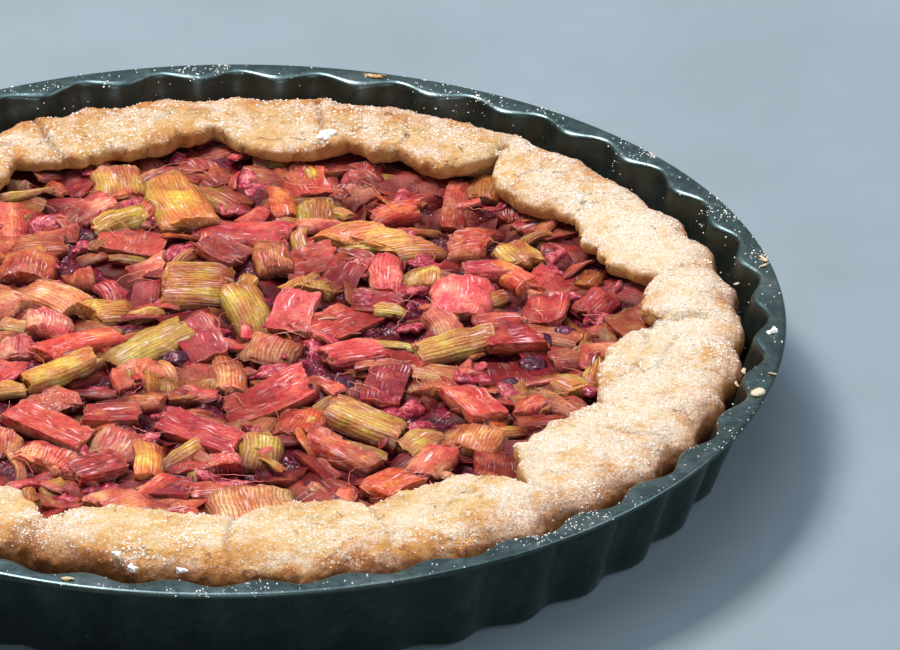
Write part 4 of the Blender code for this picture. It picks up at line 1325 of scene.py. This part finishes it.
def flesh_finish(kind):
    """Baked rhubarb, glazed with its own syrup."""
    line, browned, mealed, reddened = STAINS.get(kind, OTHER_STAINS)
    made, shader, node = new_material("Baked rhubarb, " + kind, Roughness=0.6, IOR=1.33, Coat_IOR=1.4,
                                      Subsurface_Weight=0.4, Subsurface_Scale=0.0022,
                                      Subsurface_Radius=(1.0, 0.45, 0.25), Specular_IOR_Level=0.2,
                                      Coat_Weight=1.0, Coat_Roughness=0.06)
    rest = node("Attribute", output="Vector", attribute_name="rest")
    flesh = node("Attribute", output="Color", attribute_name="flesh")
    cut = node("Attribute", output="Fac", attribute_name="cut")
    ribbed = node("Attribute", output="Fac", attribute_name="ribbed")
    where = node("TexCoord", output="Object")
    height = node("SeparateXYZ", {"Vector": where}, "Z")
    lines, stretched = fibre_lines(node, rest)
    between = node("MapRange", {"Value": lines, "From Min": 0.30, "From Max": 0.56,
                                "To Min": 0.72, "To Max": 0.0})
    between = node("Math", {0: between, 1: ribbed}, operation="MULTIPLY")
    on_ribs = node("MapRange", {"Value": lines, "From Min": 0.60, "From Max": 0.85, "To Max": 0.5})
    on_ribs = node("Math", {0: on_ribs, 1: ribbed}, operation="MULTIPLY")

    golden = blotches(node, rest, 7.0, 4.0, 0.6, (0.50, 0.68), (0.0, 0.4))
    smeared = blotches(node, where, 4.2, 5.0, 0.65, (0.48, 0.62), (0.0, reddened), distortion=0.8)
    sunken = blotches(node, where, 2.2, 5.0, 0.7, (0.50, 0.62), (0.0, reddened), distortion=0.5)
    dots = node("TexVoronoi", {"Vector": rest, "Scale": per_mm(0.95)}, "Distance")
    dotted = node("MapRange", {"Value": dots, "From Min": 0.32, "From Max": 0.15, "To Max": 0.4})
    dotted = node("Math", {0: dotted, 1: cut}, operation="MULTIPLY")
    mealy = blotches(node, where, 0.9, 3.0, 0.6, (0.34, 0.66), (0.0, 0.55))
    # Pale specks in patches: painted glints on the syrup, standing also for sugar it has not dissolved.
    glint_and_sugar_patches = blotches(node, where, 5.5, 3.0, 0.6, (0.44, 0.58), (0.0, 0.75))
    speck = blotches(node, stretched, 0.42, 2.0, 0.5, (0.58, 0.66))
    speck = node("Math", {0: speck, 1: glint_and_sugar_patches}, operation="MULTIPLY")
    # Lower down the flesh is painted dark red: painted shade between the pieces, and juice taken up.
    low_shade_and_juice = node("MapRange", {"Value": height, "From Min": 25.8 * MM, "From Max": 22.4 * MM,
                               "To Max": 0.97})
    colour = flesh
    for share, stain, how in ((between, line, "MULTIPLY"), (on_ribs, "#f4cf9c", "SCREEN"),
                              (golden, browned, "MIX"), (smeared, "#c93c44", "MIX"),
                              (sunken, "#8a2a20", "MULTIPLY"), (dotted, "#f7c3a4", "MIX"),
                              (mealy, mealed, "MULTIPLY"), (speck, "#f6dbe2", "MIX"),
                              (low_shade_and_juice, "#45050a", "MIX")):
        colour = node("Mix", {SHARE: share, UNDER: colour, OVER: stain}, MIXED,
                      data_type="RGBA", blend_type=how)

    # The syrup has run off in places, so it glints in beads and not in one long line.
    beads = blotches(node, where, 1.3, 2.0, 0.5, (0.44, 0.56), (0.12, 1.0))
    glazed = node("MapRange", {"Value": height, "From Min": 23.0 * MM, "From Max": 26.2 * MM, "To Min": 0.1})
    syrup = node("Math", {0: glazed, 1: beads}, operation="MULTIPLY")
    wet = node("TexNoise", {"Vector": where, "Scale": per_mm(1.5), "Detail": 3.0, "Roughness": 0.55})
    rough = node("MapRange", {"Value": wet, "From Min": 0.35, "From Max": 0.7,
                              "To Min": 0.34, "To Max": 0.6})
    pulpy = node("TexNoise", {"Vector": where, "Scale": per_mm(0.9), "Detail": 4.0, "Roughness": 0.65})
    beaded = node("TexNoise", {"Vector": where, "Scale": per_mm(0.55), "Detail": 2.0, "Roughness": 0.5})
    ridges = node("Math", {0: lines, 1: ribbed}, operation="MULTIPLY")
    dimples = node("Math", {0: dots, 1: cut}, operation="MULTIPLY")
    relief = skin = None
    for bump, depth_mm, strength in ((ridges, 0.35, 0.7), (pulpy, 0.3, 0.8), (dimples, 0.25, 0.5)):
        relief = node("Bump", {"Height": bump, "Distance": depth_mm * MM, "Strength": strength,
                               "Normal": relief})
    for bump, depth_mm in ((wet, 0.45), (pulpy, 0.3), (beaded, 0.14)):
        skin = node("Bump", {"Height": bump, "Distance": depth_mm * MM, "Normal": skin})
    feed(shader, Base_Color=colour, Coat_Weight=syrup, Roughness=rough, Normal=relief, Coat_Normal=skin)
    return made


stalk_nodes = {kind: [part["node"] for part in frame["record"]["subparts"]
                      if part["material_slot"] == "rhubarb_" + kind] for kind in KINDS}
for kind, piece in rhubarb.items():
    finish(piece, flesh_finish(kind))
    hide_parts(*stalk_nodes[kind])
    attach(piece, "root")

# %% [markdown]
# ## Berries, fibres, sugar and crumbs
# A few dark berries burst in the heat and lie wrinkled between the stalks. Each starts as a sphere; its
# skin is drawn in by noise, as a shrinking skin folds. Sculpting would do it as well, but noise can be
# written down, and it makes ten berries as easily as one.

# %% Berries
# (x, y, width, top height) in mm.
BERRIES = ((-14, -9.5, 8.5, 25.8), (91, 6, 7.5, 25.2), (65, 38.5, 8.5, 25.6), (-58, -84, 8.5, 24.8),
           (31.5, -23, 7.5, 25.6), (-96, -4, 7.5, 25.5), (82, -11, 7.0, 25.2), (76, -22, 7.0, 24.8),
           (84, 2, 7.0, 25.2), (-66, 6, 7.5, 25.2))


def make_berries():
    """The wrinkled berries as one piece."""
    deselect()
    bpy.ops.mesh.primitive_uv_sphere_add(segments=64, ring_count=40, radius=0.5)
    berry = settle(bpy.context.object, "dark_berries")
    ball = corners_of(berry.data)
    rng = random.Random(3)
    bodies = []
    for number, (x, y, width, top) in enumerate(BERRIES):
        body = ball * np.array((width * 1.15, width, width * 0.8))
        folds = 1.0 - np.abs(wobble(body * MM, 2.6, number * 1.7))
        creases = 1.0 - np.abs(wobble(body * MM, 1.3, number * 2.3))
        body *= (0.84 + 0.17 * folds + 0.05 * creases - 0.10 * wobble(body * MM, 4.5, number + 0.4))[:, None]
        body = body @ np.array(Matrix.Rotation(rng.uniform(0.0, 3.14), 3, "Z")).T
        body[:, 2] += top - body[:, 2].max()
        bodies.append((body + np.array((x, y, 0.0))) * MM)
    join_copies(berry, bodies)
    only(berry)
    bpy.ops.object.shade_smooth()
    return berry


def berry_finish():
    """Wet, nearly black skin with a purple bloom."""
    made, shader, node = new_material("Cooked berry skin", Roughness=0.45, IOR=1.3, Coat_Weight=0.35,
                                      Coat_IOR=1.35, Coat_Roughness=0.1)
    where = node("TexCoord", output="Object")
    bloom = node("TexNoise", {"Vector": where, "Scale": per_mm(3.0), "Detail": 5.0, "Roughness": 0.6})
    colour = node("ValToRGB", {"Fac": bloom}, stops=((0.3, "#200815"), (0.55, "#4c122f"), (0.75, "#8a2a4e")))
    wrinkle = node("TexNoise", {"Vector": where, "Scale": per_mm(1.0), "Detail": 3.0, "Roughness": 0.55})
    feed(shader, Base_Color=colour, Normal=node("Bump", {"Height": wrinkle, "Distance": 0.5 * MM}))
    return made


dark_berries = make_berries()
finish(dark_berries, berry_finish())
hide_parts(*[part["node"] for part in frame["record"]["subparts"]
                            if part["material_slot"] == "berry"])
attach(dark_berries, "root")
say(dark_berries)

# %% [markdown]
# Long fibres come loose from the stalks and lie over the heap like threads. Each is a short curve with
# four corners round, turned into mesh, since at a fifth of a millimetre no more would show.


# %% Loose fibres
FIBRES = 130
FIBRE_STEPS = 11
FIBRE_REACH_MM = 100.0
FIBRE_RADIUS = 0.11 * MM


def make_fibres():
    """Loose threads over the rhubarb, joined into one piece."""
    rng = random.Random(29)
    deselect()
    bpy.ops.curve.primitive_bezier_curve_add(radius=1.0)
    threads = bpy.context.object
    threads.name = "loose_fibres"
    line = threads.data
    line.splines.clear()
    for _ in range(FIBRES):
        x, y = chance_spot(rng, FIBRE_REACH_MM)
        z = rng.uniform(25.2, 27.2)
        heading, length, curl = rng.uniform(0.0, 6.28), rng.uniform(4.0, 13.0), rng.uniform(-0.16, 0.16)
        spline = line.splines.new("POLY")
        spline.points.add(FIBRE_STEPS)
        for point in spline.points:
            point.co = (x * MM, y * MM, z * MM, 1.0)
            point.radius = rng.uniform(0.6, 1.0)
            heading += curl + rng.uniform(-0.35, 0.35)
            x += length / FIBRE_STEPS * math.cos(heading)
            y += length / FIBRE_STEPS * math.sin(heading)
            z += rng.uniform(-0.28, 0.26)
    line.dimensions = "3D"
    line.bevel_depth = FIBRE_RADIUS
    line.bevel_resolution = 0
    line.use_fill_caps = True
    only(threads)
    bpy.ops.object.convert(target="MESH")
    return settle(bpy.context.object, "loose_fibres")


def fibre_finish():
    """Translucent thread steeped in juice."""
    made, shader, node = new_material("Rhubarb fibre", Roughness=0.35, Coat_Weight=0.5)
    where = node("TexCoord", output="Object")
    juice = node("TexNoise", {"Vector": where, "Scale": per_mm(8.0), "Detail": 3.0, "Roughness": 0.55})
    feed(shader, Base_Color=node("ValToRGB", {"Fac": juice}, stops=((0.35, "#e0967c"), (0.65, "#c9604f"))))
    return made


loose_fibres = make_fibres()
finish(loose_fibres, fibre_finish())
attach(loose_fibres, "root")
say(loose_fibres)

# %% [markdown]
# Icing sugar that didn't melt lies on the crust as white grains, and on the tin where it fell beside it.
# A grain is far too small for a modelled shape, so each is a crystal of twenty faces, the smallest
# sphere that Blender makes. Thousands are joined in one mesh, and lie where chance and a patchy noise put
# them on the faces below. A grain of icing sugar is finer still; these stand for the clumps that it forms.
# Those on the tin take other spots on each run, because Blender numbers an extruded sheet's faces in no
# fixed order, and chance picks faces by their numbers.


# %% Where grains lie
def surface_samples(piece, count, rng, wanted):
    """Places on a piece's upward faces, in metres; wanted(centres) gives each face's weight."""
    mesh = piece.data
    mesh.calc_loop_triangles()
    total = len(mesh.loop_triangles)
    corners = np.empty(total * 3, dtype=np.int32)
    mesh.loop_triangles.foreach_get("vertices", corners)
    places = corners_of(mesh)[corners.reshape(-1, 3)]
    first, second = places[:, 1] - places[:, 0], places[:, 2] - places[:, 0]
    cross = np.cross(first, second)
    area = np.linalg.norm(cross, axis=1)
    facing_up = np.clip(cross[:, 2] / np.maximum(area, 1e-12), 0.0, 1.0)
    weight = area * facing_up * wanted(places.mean(axis=1))
    chosen = rng.choice(total, size=count, p=weight / weight.sum())
    u, v = rng.random(count), rng.random(count)
    folded = u + v > 1.0
    u[folded], v[folded] = 1.0 - u[folded], 1.0 - v[folded]
    return places[chosen, 0] + u[:, None] * first[chosen] + v[:, None] * second[chosen]


def patches(places, size_mm, seed, low, high):
    """Weight from 0 to 1 in patches."""
    return step_up(wobble(places, size_mm, seed), low, high)


def on_crust(centres):
    """Where sugar lies on the crust: on its top, in patches."""
    radius = np.hypot(centres[:, 0], centres[:, 1])
    top = step_up(centres[:, 2], 27.5 * MM, 29.5 * MM) * (radius > 95.0 * MM)
    top = top * (1.0 - 0.55 * step_up(centres[:, 1], 60.0 * MM, 100.0 * MM))
    fine = 0.3 + patches(centres, 4.5, 12.0, -0.2, 0.6)
    return top * (0.12 + patches(centres, 17.0, 11.0, -0.2, 0.7) * fine)


def on_tin(centres):
    """Where sugar lies on the tin: mostly on the flange, some on the wall."""
    radius = np.hypot(centres[:, 0], centres[:, 1])
    flange = (centres[:, 2] > 30.5 * MM) * (radius > 141.0 * MM)
    wall = (centres[:, 2] > 16.0 * MM) * (radius > 136.0 * MM) * 2.0
    fine = 0.2 + patches(centres, 5.0, 14.0, 0.0, 0.7)
    return (flange + wall) * (0.05 + patches(centres, 24.0, 13.0, 0.0, 0.8) * fine)


GRAINS_ON_CRUST = 5600
GRAINS_ON_TIN = 1500
grain_rng = np.random.default_rng(17)
crust_spots = surface_samples(shortcrust_case, GRAINS_ON_CRUST, grain_rng, on_crust)
print("grains on the crust:", len(crust_spots), "at a mean height of",
      round(crust_spots[:, 2].mean() / MM, 1), "mm")


# %% Sugar grains
def scatter_grains(name, spots, sizes, rng):
    """One joined mesh with a crystal of the given size (mm) at each spot."""
    deselect()
    bpy.ops.mesh.primitive_ico_sphere_add(subdivisions=1, radius=0.5)
    grain = settle(bpy.context.object, name)
    turns = rng.random((len(spots), 3)) * 6.28
    stretch = rng.uniform(0.6, 1.2, (len(spots), 3))
    shapes = corners_of(grain.data)[None] * stretch[:, None] * (sizes * MM)[:, None, None]
    x, y, z = shapes[..., 0], shapes[..., 1], shapes[..., 2]
    cos_turn, sin_turn = np.cos(turns[:, 0])[:, None], np.sin(turns[:, 0])[:, None]
    x, y = x * cos_turn - y * sin_turn, x * sin_turn + y * cos_turn
    cos_tip, sin_tip = np.cos(turns[:, 1])[:, None], np.sin(turns[:, 1])[:, None]
    y, z = y * cos_tip - z * sin_tip, y * sin_tip + z * cos_tip
    lifted = np.stack([x, y, z], axis=-1) + spots[:, None]
    lifted[..., 2] += 0.15 * (sizes * MM)[:, None]
    join_copies(grain, lifted)
    return grain


def sugar_finish():
    """Icing sugar: white and matte."""
    made, shader, node = new_material("Icing sugar", Roughness=0.6)
    where = node("TexCoord", output="Object")
    clump = node("TexNoise", {"Vector": where, "Scale": per_mm(2.0), "Detail": 3.0, "Roughness": 0.55})
    feed(shader, Base_Color=node("ValToRGB", {"Fac": clump}, stops=((0.3, "#f3efe8"), (0.7, "#ffffff"))))
    return made


crust_sizes = grain_rng.uniform(0.25, 0.66, len(crust_spots))
crust_grains = scatter_grains("sugar_on_crust", crust_spots, crust_sizes, grain_rng)
tin_spots = surface_samples(fluted_tin, GRAINS_ON_TIN, grain_rng, on_tin)
tin_sizes = grain_rng.uniform(0.25, 0.6, len(tin_spots))
tin_grains = scatter_grains("sugar_on_tin", tin_spots, tin_sizes, grain_rng)

# Larger lumps: (angle in degrees, radius, width, height of the middle) in mm.
LUMPS = ((76.9, 110, 4.6, 31.6), (-94, 134.2, 2.6, 30.2), (-99.5, 134.0, 2.8, 30.0),
         (-101.5, 130.5, 2.0, 31.6), (-3.5, 146.5, 3.4, 32.3), (36, 118, 1.8, 31.8), (-52, 121, 1.7, 31.8))
lump_spots = [(*on_circle(turn, radius), middle + 0.28 * width, width)
              for turn, radius, width, middle in LUMPS]
sugar_lumps = scatter_lumps("sugar_lumps", lump_spots, fineness=4, seed=9)
icing_sugar = sugar_finish()
for piece in (crust_grains, tin_grains, sugar_lumps):
    finish(piece, icing_sugar)
    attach(piece, "root")
    say(piece)

# %% [markdown]
# Flakes broke off the crust and fell on the flange and in the gap beside it. They are the same lumps as
# the sugar's, only flat and narrow, and share the crust's own material.

# %% Crumbs that fell on the tin
# (angle in degrees, radius, length, height, direction in degrees); lengths in mm.
CRUMBS = ((12.5, 148.2, 4.6, 33.0, 110), (11.0, 147.6, 2.4, 32.8, 20), (75, 146.6, 5.0, 32.9, 170),
          (74, 147.6, 2.6, 32.7, 30), (-15.5, 147.6, 11.0, 33.0, 74), (-12.8, 148.6, 2.4, 32.8, 10),
          (10, 139.6, 3.0, 29.4, 60), (-10, 140.2, 2.8, 29.0, 80), (-13, 139.6, 3.2, 28.6, 100),
          (150, 147, 4.0, 32.9, 60), (203, 147.5, 3.0, 32.8, 100), (255, 147.4, 3.4, 32.8, 170))
crumb_spots = [(*on_circle(turn, radius), top, length, aim) for turn, radius, length, top, aim in CRUMBS]
crust_crumbs = scatter_lumps("crust_crumbs", crumb_spots, fineness=3, seed=31, narrow=0.24, flat=0.14)
finish(crust_crumbs, shortcrust_case.data.materials[0])
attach(crust_crumbs, "root")
say(crust_crumbs)

# %% [markdown]
# ## The studio
# The tart stands on a pale, cool floor. A warm key light comes from the upper left and a weaker, cool one
# fills from the right; two wide lights, above and in front, keep the shadows soft. A small light high
# behind draws glints on what is wet. A sky texture could light it too, but it can't be placed so exactly.


# %% Floor
def floor_finish():
    """Plain pale floor."""
    made, shader, node = new_material("Matte floor paint", Roughness=0.85)
    where = node("TexCoord", output="Object")
    shade = node("TexNoise", {"Vector": where, "Scale": per_mm(60.0), "Detail": 3.0, "Roughness": 0.55})
    feed(shader, Base_Color=node("ValToRGB", {"Fac": shade}, stops=((0.3, "#74868f"), (0.7, "#7c8e98"))))
    return made


FLOOR_SIZE = 6.0
FLOOR_GAP = 0.0002         # the floor lies a hair below the tin, so that the two never flicker
deselect()
bpy.ops.mesh.primitive_plane_add(size=FLOOR_SIZE, location=(0.0, 0.0, cad_box[0][2] - FLOOR_GAP))
studio_floor = settle(bpy.context.object, "studio_floor")
finish(studio_floor, floor_finish())


# %% Lights
def soft_light(name, place, size, energy, colour):
    """A square area light that faces the tart: its place and size in metres, its energy in watts."""
    deselect()
    bpy.ops.object.light_add(type="AREA", location=place)
    lamp = bpy.context.object
    lamp.name = name
    lamp.data.shape = "SQUARE"
    lamp.data.size = size
    lamp.data.energy = energy
    lamp.data.color = linear(colour)[:3]
    lamp.rotation_euler = (-Vector(place)).to_track_quat("-Z", "Y").to_euler()
    print(f"{name}: {energy} W, {Vector(place).length:.2f} m away")


soft_light("key_light", (-0.60, 0.50, 1.55), 0.50, 39.0, "#fff5e8")
soft_light("fill_light", (1.5, 0.0, 1.0), 1.1, 12.0, "#f0f5ff")
soft_light("top_light", (0.1, -0.1, 1.9), 1.3, 12.0, "#f4f7ff")
soft_light("front_light", (0.1, -1.6, 0.75), 0.9, 8.0, "#f4f7ff")
soft_light("back_light", (-0.25, 0.95, 1.4), 0.24, 7.5, "#e6e1ff")
scene = bpy.context.scene
scene.world = bpy.data.worlds.new("studio")
scene.world.use_nodes = True
sky = scene.world.node_tree.nodes["Background"]
sky.inputs["Color"].default_value = linear("#e9eef2")
sky.inputs["Strength"].default_value = 0.10
scene.view_settings.view_transform = "Standard"

# %% [markdown]
# The camera looks from the side that shows the rim all round. A short lens would draw the near side of the
# tin larger than the far side, so it stands well back with a long one, and the tin stays an even ellipse.

# %% Camera
CAMERA_RISE = math.radians(28.4)
LENS = 400.0               # mm
SENSOR_WIDTH = 36.0        # mm
VIEW_WIDTH = 0.24206       # metres across the view, at the tart
VIEW_MIDDLE = Vector((0.0597, 0.0025, 0.0279))
deselect()
bpy.ops.object.camera_add()
camera = bpy.context.object
camera.name = "camera"
camera.data.lens = LENS
camera.data.sensor_width = SENSOR_WIDTH
camera.data.clip_end = 20.0
distance = LENS / SENSOR_WIDTH * VIEW_WIDTH
back = Vector((0.0, -math.cos(CAMERA_RISE), math.sin(CAMERA_RISE)))
camera.location = VIEW_MIDDLE + back * distance
camera.rotation_euler = (math.pi / 2.0 - CAMERA_RISE, 0.0, 0.0)
scene.camera = camera
print("camera", [round(value, 3) for value in camera.location], "at", round(distance, 2), "m")
